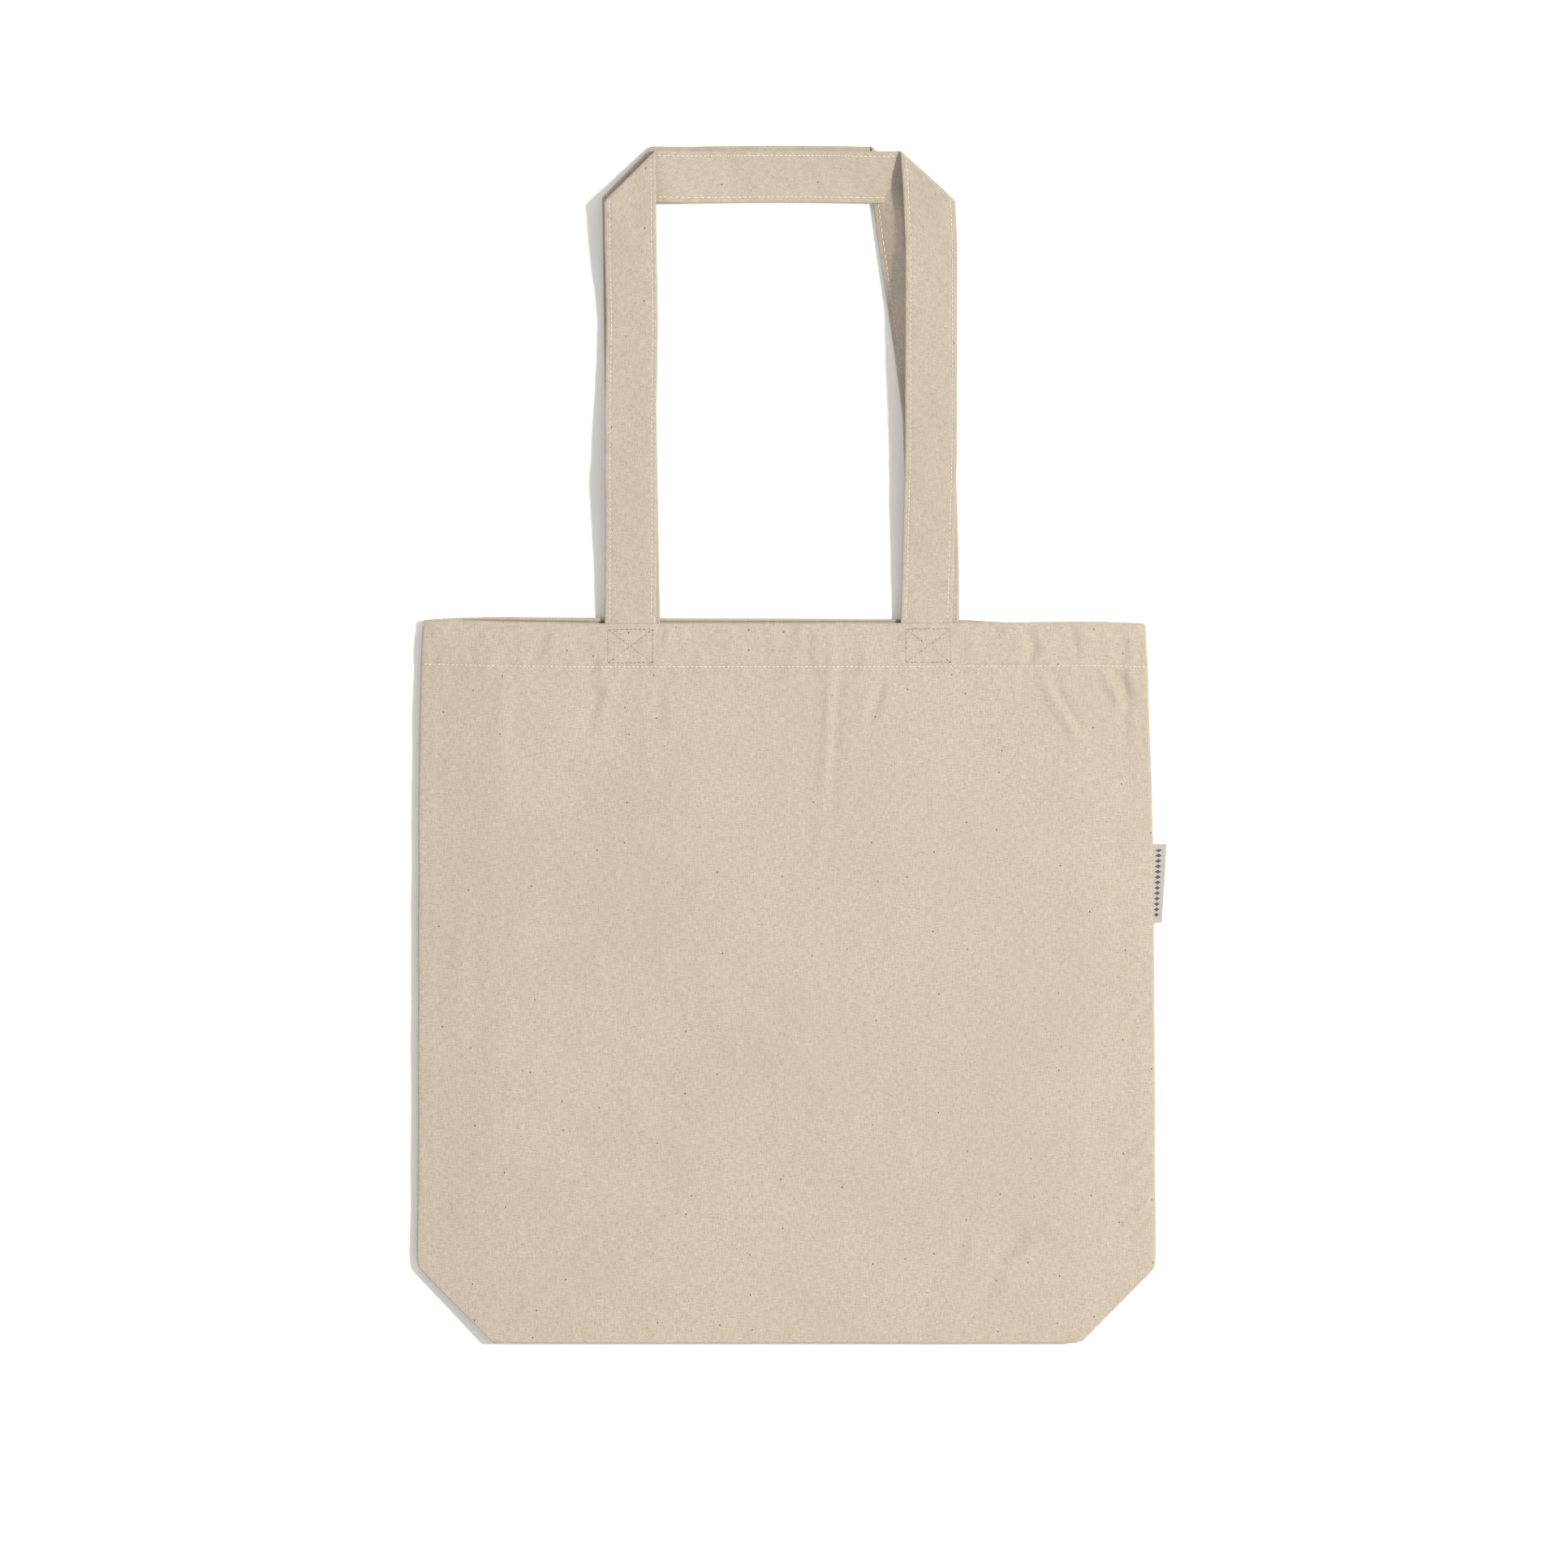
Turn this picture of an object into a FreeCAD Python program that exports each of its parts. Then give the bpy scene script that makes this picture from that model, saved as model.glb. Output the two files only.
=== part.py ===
"""Canvas tote bag, pressed flat: two canvas panels sewn at the sides and under the base, with boxed corners.

The bag lies on its back panel, mouth towards +Y, front panel up (+Z). The origin is the middle of the back panel's
outer face. The side folds, base folds and corner folds are separate pieces of the same cloth, parted at the creases
where the cloth bends when the bag is opened from flat into a box. Every crease turns on the cloth's inner face.
"""

import FreeCAD, Part
import os

import Sketcher

Vector = FreeCAD.Vector

# Driving dimensions in millimetres and degrees: alias, value, meaning.
SIZES = [
    ("cloth", 0.8, "thickness of one layer of canvas"),
    ("bag_height", 375, "mouth edge to base crease, flat"),
    ("base_half", 152.5, "half the length of the opened base"),
    ("side_width", 40, "half the depth of the opened bag"),
    ("rest_tilt", 4.5, "slope of the side folds when the bag lies flat"),
    ("hem_width", 25, "width of the folded mouth hem"),
    ("hem_layers", 1.2, "thickness of the cloth folded inside the hem"),
    ("hem_seam_gap", 8, "hem layers stop this short of the side seam"),
    ("hem_stitch", 22.8, "hem stitching below the mouth edge"),
    ("thread", 0.5, "width of a line of stitching"),
    ("thread_depth", 0.25, "depth that stitching sinks into the cloth"),
    ("crease_gap", 0.15, "clearance at a crease"),
    ("corner_gap", 0.5, "clearance round a folded corner"),
    ("hem_crease_gap", 1.6, "hem layers stop this short of a side crease"),
    ("allowance", 9, "width of a seam allowance"),
    ("allowance_hem", 6, "width of a seam allowance inside the hem"),
    ("overlock", 1, "width of the overlocked edge"),
    ("overlock_thick", 1.9, "thickness of the overlocked edge"),
    ("seam_stitch", 1.5, "seam stitching from the seam line"),
    ("strap_width", 27, "width of a handle strap"),
    ("strap_thick", 1.6, "thickness of a handle strap"),
    ("strap_end", 22, "length of strap sewn inside the hem"),
    ("strap_stitch", 2.2, "edge stitching from the strap's edge"),
    ("leg_spacing", 155, "middle to middle of a handle's legs"),
    ("leg_shift", 3, "handles sit this far left of the middle"),
    ("front_reach", 246.5, "front handle's top above the mouth"),
    ("back_reach", 248.5, "back handle's top above the mouth"),
    ("back_lean", 16, "sideways lean of the back handle's right leg"),
    ("back_lean_start", 112, "height above the mouth where that lean starts"),
    ("handle_gap", 0.3, "clearance between the sewn end and the free leg"),
    ("box_half_wide", 12, "half the width of a stitched box"),
    ("box_half_high", 9, "half the height of a stitched box"),
    ("box_below_mouth", 12, "middle of a stitched box below the mouth"),
    ("box_slant_x", 0.42, "half a diagonal's width along X"),
    ("box_slant_y", 0.31, "half a diagonal's width along Y"),
    ("label_low", 31, "label's lower end above the middle of the bag"),
    ("label_long", 41, "length of the label along the seam"),
    ("label_hinge", 1.4, "label bends this far outside the seam"),
    ("label_out", 5.2, "width of the label outside its bend"),
    ("label_gap", 0.3, "clearance each side of the label's bend"),
    ("label_tab", 5, "width of the label caught in the seam"),
    ("label_thick", 0.6, "thickness of the doubled label tape"),
]

BOTTOM = "(-Size.bag_height / 2)"
MOUTH = "(Size.bag_height / 2)"
HEM_EDGE = "(Size.bag_height / 2 - Size.hem_width)"
HEM_STITCH = "(Size.bag_height / 2 - Size.hem_stitch)"
HALF_THREAD = "(Size.thread / 2)"
RISE = "(Size.side_width * sin(Size.rest_tilt))"
RUN = "(Size.side_width * cos(Size.rest_tilt))"
BACK_Z = "Size.cloth"
MIDDLE_Z = f"(2 * Size.cloth + {RISE})"
FRONT_Z = f"(3 * Size.cloth + 2 * {RISE})"
SEAM_X = f"(Size.base_half + {RUN})"
BASE_SEAM_Y = f"({BOTTOM} + {RUN})"

doc = FreeCAD.newDocument("tote_bag")
pieces = []


def make_sheet():
    """Writes the driving dimensions into the spreadsheet, one alias a row."""
    sheet = doc.addObject("Spreadsheet::Sheet", "Size")
    for row, (alias, value, meaning) in enumerate(SIZES, start=1):
        sheet.set(f"A{row}", meaning)
        sheet.set(f"B{row}", str(value))
        sheet.setAlias(f"B{row}", alias)
    doc.recompute()
    return sheet


def rectangle(low_x, low_y, high_x, high_y):
    """The four corners of a rectangle, as expressions."""
    return [(low_x, low_y), (high_x, low_y), (high_x, high_y), (low_x, high_y)]


def draw_loop(sketch, corners):
    """Draws one closed outline and ties each corner to the sheet."""
    points = [
        Vector(float(sketch.evalExpression(x)), float(sketch.evalExpression(y)), 0)
        for x, y in corners
    ]
    first = sketch.GeometryCount
    count = len(points)
    for i, point in enumerate(points):
        sketch.addGeometry(Part.LineSegment(point, points[(i + 1) % count]), False)
    for i in range(count):
        following = first + (i + 1) % count
        sketch.addConstraint(Sketcher.Constraint("Coincident", first + i, 2, following, 1))
    for i, (point, corner) in enumerate(zip(points, corners)):
        for kind, value, expression in zip(("DistanceX", "DistanceY"), point, corner):
            number = sketch.addConstraint(
                Sketcher.Constraint(kind, -1, 1, first + i, 1, value)
            )
            sketch.setExpression(f"Constraints[{number}]", expression)


def add_sketch(body, loops, height):
    """A sketch on the body's XY plane, raised to a height, holding closed outlines."""
    sketch = body.newObject("Sketcher::SketchObject", "Outline")
    plane = next(f for f in body.Origin.OriginFeatures if f.Role == "XY_Plane")
    sketch.AttachmentSupport = [(plane, "")]
    sketch.MapMode = "FlatFace"
    sketch.setExpression("AttachmentOffset.Base.z", height)
    for corners in loops:
        draw_loop(sketch, corners)
    return sketch


def add_pad(body, loops, thickness, height="0", downwards=False):
    """Pads outlines up from a height, or down from it."""
    pad = body.newObject("PartDesign::Pad", "Pad")
    pad.Profile = add_sketch(body, loops, height)
    pad.setExpression("Length", thickness)
    pad.Reversed = downwards
    body.Tip = pad
    return pad


def add_groove(body, loops, height, upwards):
    """Cuts outlines into the body from a height, and checks that cloth was cut."""
    doc.recompute()
    before = body.Shape.Volume
    pocket = body.newObject("PartDesign::Pocket", "Groove")
    pocket.Profile = add_sketch(body, loops, height)
    pocket.setExpression("Length", "Size.thread_depth")
    pocket.Reversed = upwards
    body.Tip = pocket
    doc.recompute()
    if not body.Shape.Volume < before:
        raise RuntimeError(f"the groove in {body.Label} cut nothing")


def new_body(label, place=("0", "0", "0"), axis=Vector(0, 1, 0), angle="0"):
    """An empty body with its label, its place and one turn, all tied to the sheet."""
    body = doc.addObject("PartDesign::Body", label)
    body.Label = label
    body.Placement.Rotation = FreeCAD.Rotation(axis, 0)
    for letter, expression in zip("xyz", place):
        body.setExpression(f"Placement.Base.{letter}", expression)
    start = float(body.evalExpression(angle))
    body.Placement = FreeCAD.Placement(Vector(0, 0, 0), FreeCAD.Rotation(axis, start))
    body.setExpression("Placement.Rotation.Angle", f"abs({angle}) * 1 deg")
    pieces.append(body)
    return body


def stitch_bar(x, low_y, high_y):
    """A line of stitching along Y."""
    return rectangle(f"{x} - {HALF_THREAD}", low_y, f"{x} + {HALF_THREAD}", high_y)


def hem_stitch_bar(low_x, high_x):
    """A line of hem stitching along X."""
    return rectangle(
        low_x, f"{HEM_STITCH} - {HALF_THREAD}", high_x, f"{HEM_STITCH} + {HALF_THREAD}"
    )


def box_stitch_loops(middle_x):
    """A stitched rectangle with both diagonals: its outside and the four gaps inside."""
    wide, high = "Size.box_half_wide", "Size.box_half_high"
    y = f"({MOUTH} - Size.box_below_mouth)"
    inner_x = f"({wide} - Size.thread)"
    inner_y = f"({high} - Size.thread)"
    slant_x, slant_y = "Size.box_slant_x", "Size.box_slant_y"
    loops = [
        rectangle(
            f"{middle_x} - {wide}", f"{y} - {high}", f"{middle_x} + {wide}", f"{y} + {high}"
        )
    ]
    for way in ("-", "+"):
        other = "+" if way == "-" else "-"
        loops.append(
            [
                (f"{middle_x} - {inner_x} + {slant_x}", f"{y} {way} {inner_y}"),
                (f"{middle_x} + {inner_x} - {slant_x}", f"{y} {way} {inner_y}"),
                (middle_x, f"{y} {way} {slant_y}"),
            ]
        )
        loops.append(
            [
                (f"{middle_x} {way} {inner_x}", f"{y} - {inner_y} + {slant_y}"),
                (f"{middle_x} {way} {inner_x}", f"{y} + {inner_y} - {slant_y}"),
                (f"{middle_x} {way} {slant_x}", y),
            ]
        )
    return loops


def leg_middle(side, facing=1):
    """Where a handle leg's middle lies along X, in a frame that faces up (1) or down (-1)."""
    return f"({facing} * ({side} * Size.leg_spacing / 2 - Size.leg_shift))"


def make_panel(layer, height, turned):
    """The middle of one cloth panel, its hem, its stitching and the two strap ends sewn inside."""
    facing = -1 if turned else 1
    frame = dict(place=("0", "0", height), angle="180" if turned else "0")
    edge = "(Size.base_half - Size.crease_gap)"
    hem_half = "(Size.base_half - Size.hem_crease_gap)"
    outside = "-Size.cloth"
    hem_line = [hem_stitch_bar(f"-{hem_half}", hem_half)]
    boxes = [box_stitch_loops(leg_middle(side, facing)) for side in (-1, 1)]

    panel = new_body(f"{layer}_panel", **frame)
    outline = rectangle(f"-{edge}", f"{BOTTOM} + Size.crease_gap", edge, MOUTH)
    add_pad(panel, [outline], "Size.cloth", downwards=True)
    add_groove(panel, hem_line, outside, upwards=True)
    for loops in boxes:
        add_groove(panel, loops, outside, upwards=True)

    hem = new_body(f"{layer}_hem", **frame)
    hem_band = rectangle(f"-{hem_half}", HEM_EDGE, hem_half, MOUTH)
    add_pad(hem, [hem_band], "Size.hem_layers")

    hem_stitching = new_body(f"{layer}_hem_stitching", **frame)
    add_pad(hem_stitching, hem_line, "Size.thread_depth", outside)

    for side, name in ((-1, "left"), (1, "right")):
        middle = leg_middle(side, facing)
        stitching = new_body(f"{layer}_box_stitching_{name}", **frame)
        add_pad(stitching, box_stitch_loops(middle), "Size.thread_depth", outside)
        end = new_body(f"{layer}_handle_{name}_end", **frame)
        half = "Size.strap_width / 2"
        strap = rectangle(
            f"{middle} - {half}", f"{MOUTH} - Size.strap_end", f"{middle} + {half}", MOUTH
        )
        add_pad(end, [strap], "Size.strap_thick", "Size.hem_layers")


def make_side_fold(layer, side, turned):
    """One side fold of a cloth panel: its cloth, hem, hem stitching and the corner folded in below it."""
    name = f"{'right' if side > 0 else 'left'}_{layer}"
    out = -side if turned else side
    angle = f"(180 + {side} * Size.rest_tilt)" if turned else f"(-{side} * Size.rest_tilt)"
    axis = Vector(0, 1 if turned or side < 0 else -1, 0)
    height = FRONT_Z if turned else BACK_Z
    frame = dict(place=(f"{side} * Size.base_half", "0", height), axis=axis, angle=angle)
    gap, far = "Size.crease_gap", "(Size.side_width - Size.crease_gap)"
    outside = "-Size.cloth"
    hem_far = "(Size.side_width - Size.hem_seam_gap)"

    cloth = new_body(f"{name}_side", **frame)
    outline = [
        (f"{out} * {gap}", f"{BOTTOM} + 2 * {gap}"),
        (f"{out} * {far}", f"{BOTTOM} + {far} + {gap}"),
        (f"{out} * {far}", MOUTH),
        (f"{out} * {gap}", MOUTH),
    ]
    add_pad(cloth, [outline], "Size.cloth", downwards=True)
    line = [hem_stitch_bar(f"{out} * {gap}", f"{out} * {hem_far}")]
    add_groove(cloth, line, outside, upwards=True)

    hem = new_body(f"{name}_hem", **frame)
    band = rectangle(f"{out} * 2 * {gap}", HEM_EDGE, f"{out} * {hem_far}", MOUTH)
    add_pad(hem, [band], "Size.hem_layers")

    stitching = new_body(f"{name}_hem_stitching", **frame)
    add_pad(stitching, line, "Size.thread_depth", outside)

    corner = new_body(f"{name}_corner", **frame)
    clear = "Size.corner_gap"
    tip = "(Size.side_width - 4 * Size.corner_gap)"
    triangle = [
        (f"{out} * {clear}", f"{BOTTOM} + 3 * {clear}"),
        (f"{out} * {tip}", f"{BOTTOM} + {tip} + 2 * {clear}"),
        (f"{out} * {clear}", f"{BOTTOM} + {tip} + 2 * {clear}"),
    ]
    add_pad(corner, [triangle], "Size.cloth")


def make_base():
    """The two halves of the base, folded up between the panels."""
    half = "(Size.base_half - Size.corner_gap)"
    for layer, height, way in (("back", BACK_Z, 1), ("front", FRONT_Z, -1)):
        body = new_body(
            f"base_{layer}",
            place=("0", BOTTOM, height),
            axis=Vector(way, 0, 0),
            angle="Size.rest_tilt",
        )
        far = "(Size.side_width - Size.crease_gap)"
        outline = rectangle(f"-{half}", "2 * Size.crease_gap", half, far)
        add_pad(body, [outline], "Size.cloth", downwards=way < 0)


def make_seam(name, place, outline, edge, stitch, slot=None):
    """A seam allowance of two layers, with its overlocked edge and its line of stitching."""
    top = "Size.cloth"
    allowance = new_body(f"{name}_seam_allowance", place=place)
    add_pad(allowance, [outline], "2 * Size.cloth", "-Size.cloth")
    add_groove(allowance, [stitch], top, upwards=False)
    if slot:
        doc.recompute()
        before = allowance.Shape.Volume
        cut = allowance.newObject("PartDesign::Pocket", "LabelSlot")
        cut.Profile = add_sketch(allowance, [slot], "Size.label_thick / 2")
        cut.setExpression("Length", "Size.label_thick")
        allowance.Tip = cut
        doc.recompute()
        if not allowance.Shape.Volume < before:
            raise RuntimeError("the label's slot cut nothing")
    overlock = new_body(f"{name}_seam_overlock", place=place)
    add_pad(overlock, [edge], "Size.overlock_thick", "-Size.overlock_thick / 2")
    stitching = new_body(f"{name}_seam_stitching", place=place)
    add_pad(stitching, [stitch], "Size.thread_depth", f"{top} - Size.thread_depth")


def label_outline(low_x, high_x):
    """The label's length along the seam, between two places along X."""
    return rectangle(low_x, "Size.label_low", high_x, "Size.label_low + Size.label_long")


def make_side_seams():
    """The side seams inside the bag. The right one holds the label."""
    start = f"({BASE_SEAM_Y} + 2 * Size.corner_gap)"
    low_hem = f"({HEM_EDGE} - Size.corner_gap)"
    for side, name in ((1, "right"), (-1, "left")):
        inner, narrow = f"{-side} * Size.allowance", f"{-side} * Size.allowance_hem"
        line = f"{-side} * Size.crease_gap"
        outline = [
            (line, start),
            (inner, start),
            (inner, low_hem),
            (narrow, low_hem),
            (narrow, MOUTH),
            (line, MOUTH),
        ]
        rim = f"{-side} * (Size.allowance + Size.overlock)"
        edge = rectangle(rim, start, inner, low_hem)
        stitch = stitch_bar(f"{-side} * Size.seam_stitch", start, MOUTH)
        slot = label_outline("-Size.label_tab", "-Size.crease_gap") if side > 0 else None
        place = (f"{side} * {SEAM_X}", "0", MIDDLE_Z)
        make_seam(name, place, outline, edge, stitch, slot)


def make_base_seam():
    """The seam across the middle of the base, inside the bag."""
    half = "(Size.base_half - Size.corner_gap)"
    outline = rectangle(f"-{half}", "Size.crease_gap", half, "Size.allowance")
    edge = rectangle(f"-{half}", "Size.allowance", half, "Size.allowance + Size.overlock")
    stitch = rectangle(
        f"-{half}",
        f"Size.seam_stitch - {HALF_THREAD}",
        half,
        f"Size.seam_stitch + {HALF_THREAD}",
    )
    make_seam("base", ("0", BASE_SEAM_Y, MIDDLE_Z), outline, edge, stitch)


def make_label():
    """The woven label: the tab caught in the seam and the flap outside it."""
    place = (SEAM_X, "0", MIDDLE_Z)
    low = "-Size.label_thick / 2"
    tab = new_body("label_tab", place=place)
    inside = label_outline("-Size.label_tab", "Size.label_hinge - Size.label_gap")
    add_pad(tab, [inside], "Size.label_thick", low)
    flap = new_body("label_flap", place=place)
    outside = label_outline(
        "Size.label_hinge + Size.label_gap", "Size.label_hinge + Size.label_out"
    )
    add_pad(flap, [outside], "Size.label_thick", low)


def strap_stitch_bars(middle, low, high):
    """The two lines of edge stitching down a straight leg."""
    inset = "(Size.strap_width / 2 - Size.strap_stitch)"
    return [stitch_bar(f"{middle} {way} {inset}", low, high) for way in ("-", "+")]


def make_handle(layer, leg_height, reach, lean):
    """One strap: two legs folded over the ends of the crosswise grip, with edge stitching."""
    half, wide = "Size.strap_width / 2", "Size.strap_width"
    start = f"({MOUTH} + Size.handle_gap)"
    top = f"({MOUTH} + {reach})"
    low = f"({top} - {wide})"
    left, right = leg_middle(-1), leg_middle(1)
    inset = "Size.strap_stitch"
    leg_top = f"({leg_height} + Size.strap_thick)"
    sunk = f"({leg_top} - Size.thread_depth)"
    grip_right = f"({right} - {lean})"
    stop = f"({low} - Size.strap_stitch)"
    bend = f"({MOUTH} + Size.back_lean_start)"

    left_leg = new_body(f"{layer}_handle_left_leg")
    outline = [
        (f"{left} - {half}", start),
        (f"{left} + {half}", start),
        (f"{left} + {half}", top),
        (f"{left} - {half}", low),
    ]
    add_pad(left_leg, [outline], "Size.strap_thick", leg_height)
    left_lines = strap_stitch_bars(left, start, stop)
    add_groove(left_leg, left_lines, leg_top, upwards=False)

    right_leg = new_body(f"{layer}_handle_right_leg")
    outline = [(f"{right} - {half}", start), (f"{right} + {half}", start)]
    if lean != "0":
        outline.append((f"{right} + {half}", bend))
    outline += [(f"{grip_right} + {half}", low), (f"{grip_right} - {half}", top)]
    if lean != "0":
        outline.append((f"{right} - {half}", bend))
    add_pad(right_leg, [outline], "Size.strap_thick", leg_height)
    right_lines = strap_stitch_bars(right, start, stop if lean == "0" else bend)
    add_groove(right_leg, right_lines, leg_top, upwards=False)

    grip = new_body(f"{layer}_handle_grip")
    outline = [
        (f"{left} - {half}", low),
        (f"{grip_right} + {half}", low),
        (f"{grip_right} - {half}", top),
        (f"{left} + {half}", top),
    ]
    grip_height = f"({leg_height} - Size.strap_thick)"
    add_pad(grip, [outline], "Size.strap_thick", grip_height)
    grip_lines = [
        rectangle(
            f"{left} + {half} + {inset}",
            f"{y} - {HALF_THREAD}",
            f"{grip_right} - {half} - {inset}",
            f"{y} + {HALF_THREAD}",
        )
        for y in (f"({low} + {inset})", f"({top} - {inset})")
    ]
    add_groove(grip, grip_lines, leg_height, upwards=False)

    legs_thread = new_body(f"{layer}_handle_leg_stitching")
    add_pad(legs_thread, left_lines[:1], "Size.thread_depth", sunk)
    for line in left_lines[1:] + right_lines:
        add_separate_line(legs_thread, line, sunk)
    grip_thread = new_body(f"{layer}_handle_grip_stitching")
    grip_sunk = f"({leg_height} - Size.thread_depth)"
    add_pad(grip_thread, grip_lines[:1], "Size.thread_depth", grip_sunk)
    add_separate_line(grip_thread, grip_lines[1], grip_sunk)


def add_separate_line(body, line, height):
    """One more line of stitching in a body that may hold several separate solids."""
    body.AllowCompound = True
    add_pad(body, [line], "Size.thread_depth", height)


def check(objects):
    """Stops if any object failed, or any piece's shape is null or broken."""
    bad = [o.Label for o in doc.Objects if {"Invalid", "Error"} & set(o.State)]
    if bad:
        raise RuntimeError(f"failed objects: {bad}")
    for piece in objects:
        if piece.Shape.isNull() or not piece.Shape.isValid():
            raise RuntimeError(f"{piece.Label} has no valid shape")


def main():
    make_sheet()
    make_panel("back", BACK_Z, turned=False)
    make_panel("front", FRONT_Z, turned=True)
    for side in (-1, 1):
        make_side_fold("back", side, turned=False)
        make_side_fold("front", side, turned=True)
    make_base()
    make_side_seams()
    make_base_seam()
    make_label()
    make_handle(
        "front", f"({FRONT_Z} - Size.hem_layers - Size.strap_thick)", "Size.front_reach", "0"
    )
    make_handle(
        "back", f"({BACK_Z} + Size.hem_layers)", "Size.back_reach", "Size.back_lean"
    )
    doc.recompute()
    check(pieces)
    os.makedirs("parts", exist_ok=True)
    for piece in pieces:
        piece.Shape.exportStep(f"parts/{piece.Label}.step")
        box = piece.Shape.BoundBox
        print(
            f"{piece.Label:32s} solids {len(piece.Shape.Solids)} "
            f"x {box.XMin:.2f} {box.XMax:.2f} y {box.YMin:.2f} {box.YMax:.2f} "
            f"z {box.ZMin:.2f} {box.ZMax:.2f}"
        )


main()
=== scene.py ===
"""Undyed canvas tote bag, pressed flat on a pale floor, with two folded strap handles."""

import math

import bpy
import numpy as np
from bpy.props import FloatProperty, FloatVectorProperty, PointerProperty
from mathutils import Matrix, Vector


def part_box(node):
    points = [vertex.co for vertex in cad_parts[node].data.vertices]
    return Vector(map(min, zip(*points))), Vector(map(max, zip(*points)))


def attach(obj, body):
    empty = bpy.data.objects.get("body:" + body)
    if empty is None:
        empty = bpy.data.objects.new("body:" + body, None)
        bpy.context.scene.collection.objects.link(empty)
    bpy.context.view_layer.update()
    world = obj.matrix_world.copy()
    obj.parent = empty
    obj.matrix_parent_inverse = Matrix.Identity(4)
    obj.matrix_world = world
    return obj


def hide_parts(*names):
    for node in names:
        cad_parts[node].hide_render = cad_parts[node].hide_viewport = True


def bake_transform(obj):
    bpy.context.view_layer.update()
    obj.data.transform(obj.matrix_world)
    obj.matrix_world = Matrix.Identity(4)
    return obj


bl_info = {
    "name": "Canvas tote bag",
    "version": (1, 0, 0),
    "blender": (4, 5, 0),
    "location": "View3D > Sidebar > Tote",
    "description": "Builds a flat canvas tote bag round its fitted frame",
    "category": "Add Mesh",
}

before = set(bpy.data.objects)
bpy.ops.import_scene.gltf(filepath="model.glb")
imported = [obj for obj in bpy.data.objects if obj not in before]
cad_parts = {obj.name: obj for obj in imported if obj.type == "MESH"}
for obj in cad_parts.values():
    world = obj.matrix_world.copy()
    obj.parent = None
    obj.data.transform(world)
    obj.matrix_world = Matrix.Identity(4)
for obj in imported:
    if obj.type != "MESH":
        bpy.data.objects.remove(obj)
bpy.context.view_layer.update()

MM = 0.001
TINY = 1e-9
QUARTER = math.pi / 2
UV_NAME = "cloth"


def node_box(node):
    """The lowest and highest corner of a frame node, in millimetres."""
    low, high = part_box(node)
    return np.array(low) / MM, np.array(high) / MM


FRONT_LOW, FRONT_HIGH = node_box("front_panel")
BACK_LOW, BACK_HIGH = node_box("back_panel")
SIDE_LOW, SIDE_HIGH = node_box("right_front_side")
HEM_LOW, HEM_HIGH = node_box("front_hem")
STRAP_LOW, STRAP_HIGH = node_box("front_handle_left_leg")
STRAP_RIGHT_LOW, STRAP_RIGHT_HIGH = node_box("front_handle_right_leg")
BACK_STRAP_LOW, BACK_STRAP_HIGH = node_box("back_handle_left_leg")
LABEL_LOW, LABEL_HIGH = node_box("label_flap")

MOUTH_Y = HEM_HIGH[1]
NODE_GAP = 0.15
BASE_Y = FRONT_LOW[1] - NODE_GAP
CREASE_X = FRONT_HIGH[0] + NODE_GAP
BASE_SEAM_Y = node_box("base_front")[1][1] + NODE_GAP
MIDDLE_Z = (FRONT_HIGH[2] + BACK_LOW[2]) / 2
HALF_HEIGHT = MIDDLE_Z - BACK_LOW[2]
CLOTH = FRONT_HIGH[2] - FRONT_LOW[2]
HEM_THICK = HEM_HIGH[2] - HEM_LOW[2]
HEM_EDGE_Y = HEM_LOW[1]
HEM_STITCH_Y = node_box("front_hem_stitching")[0][1] + 0.25
SEAM_X = SIDE_HIGH[0] + 0.09
FOLD_SLOPE = (SIDE_HIGH[2] - SIDE_LOW[2] - CLOTH) / (SIDE_HIGH[0] - SIDE_LOW[0])
STRAP_THICK = STRAP_HIGH[2] - STRAP_LOW[2]
STRAP_WIDTH = STRAP_HIGH[0] - STRAP_LOW[0]
STRAP_END_Y = node_box("front_handle_left_end")[0][1]
BACK_GRIP_RIGHT_X = node_box("back_handle_grip")[1][0]
TAB_LEFT_X = node_box("label_tab")[0][0]
STITCH_PITCH = 2.4
STRAP_STITCH_INSET = 2.7
BOX_CENTRE_Y = MOUTH_Y - 12.0


# ---------------------------------------------------------------- properties

class ToteSizes(bpy.types.PropertyGroup):
    """Sizes of the cloth and thread that a maker would change."""

    wrinkle: FloatProperty(
        name="Wrinkle height", description="Strength of the creases in the cloth",
        default=1.0, min=0.0, max=2.0, subtype="FACTOR")
    thread: FloatProperty(
        name="Thread", description="Diameter of the sewing thread",
        default=0.00054, unit="LENGTH")
    stitch: FloatProperty(
        name="Stitch length", description="Distance from one stitch to the next",
        default=STITCH_PITCH * MM, unit="LENGTH")
    slub: FloatProperty(
        name="Yarn width", description="Width of one thick and thin yarn",
        default=0.00052, unit="LENGTH")
    speck_gap: FloatProperty(
        name="Seed speck spacing", description="Distance between the specks of seed in the cloth",
        default=0.0062, unit="LENGTH")


def colour(name, text, value):
    return FloatVectorProperty(name=name, description=text, default=value, subtype="COLOR",
                               size=3, min=0.0, max=1.0)


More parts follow.
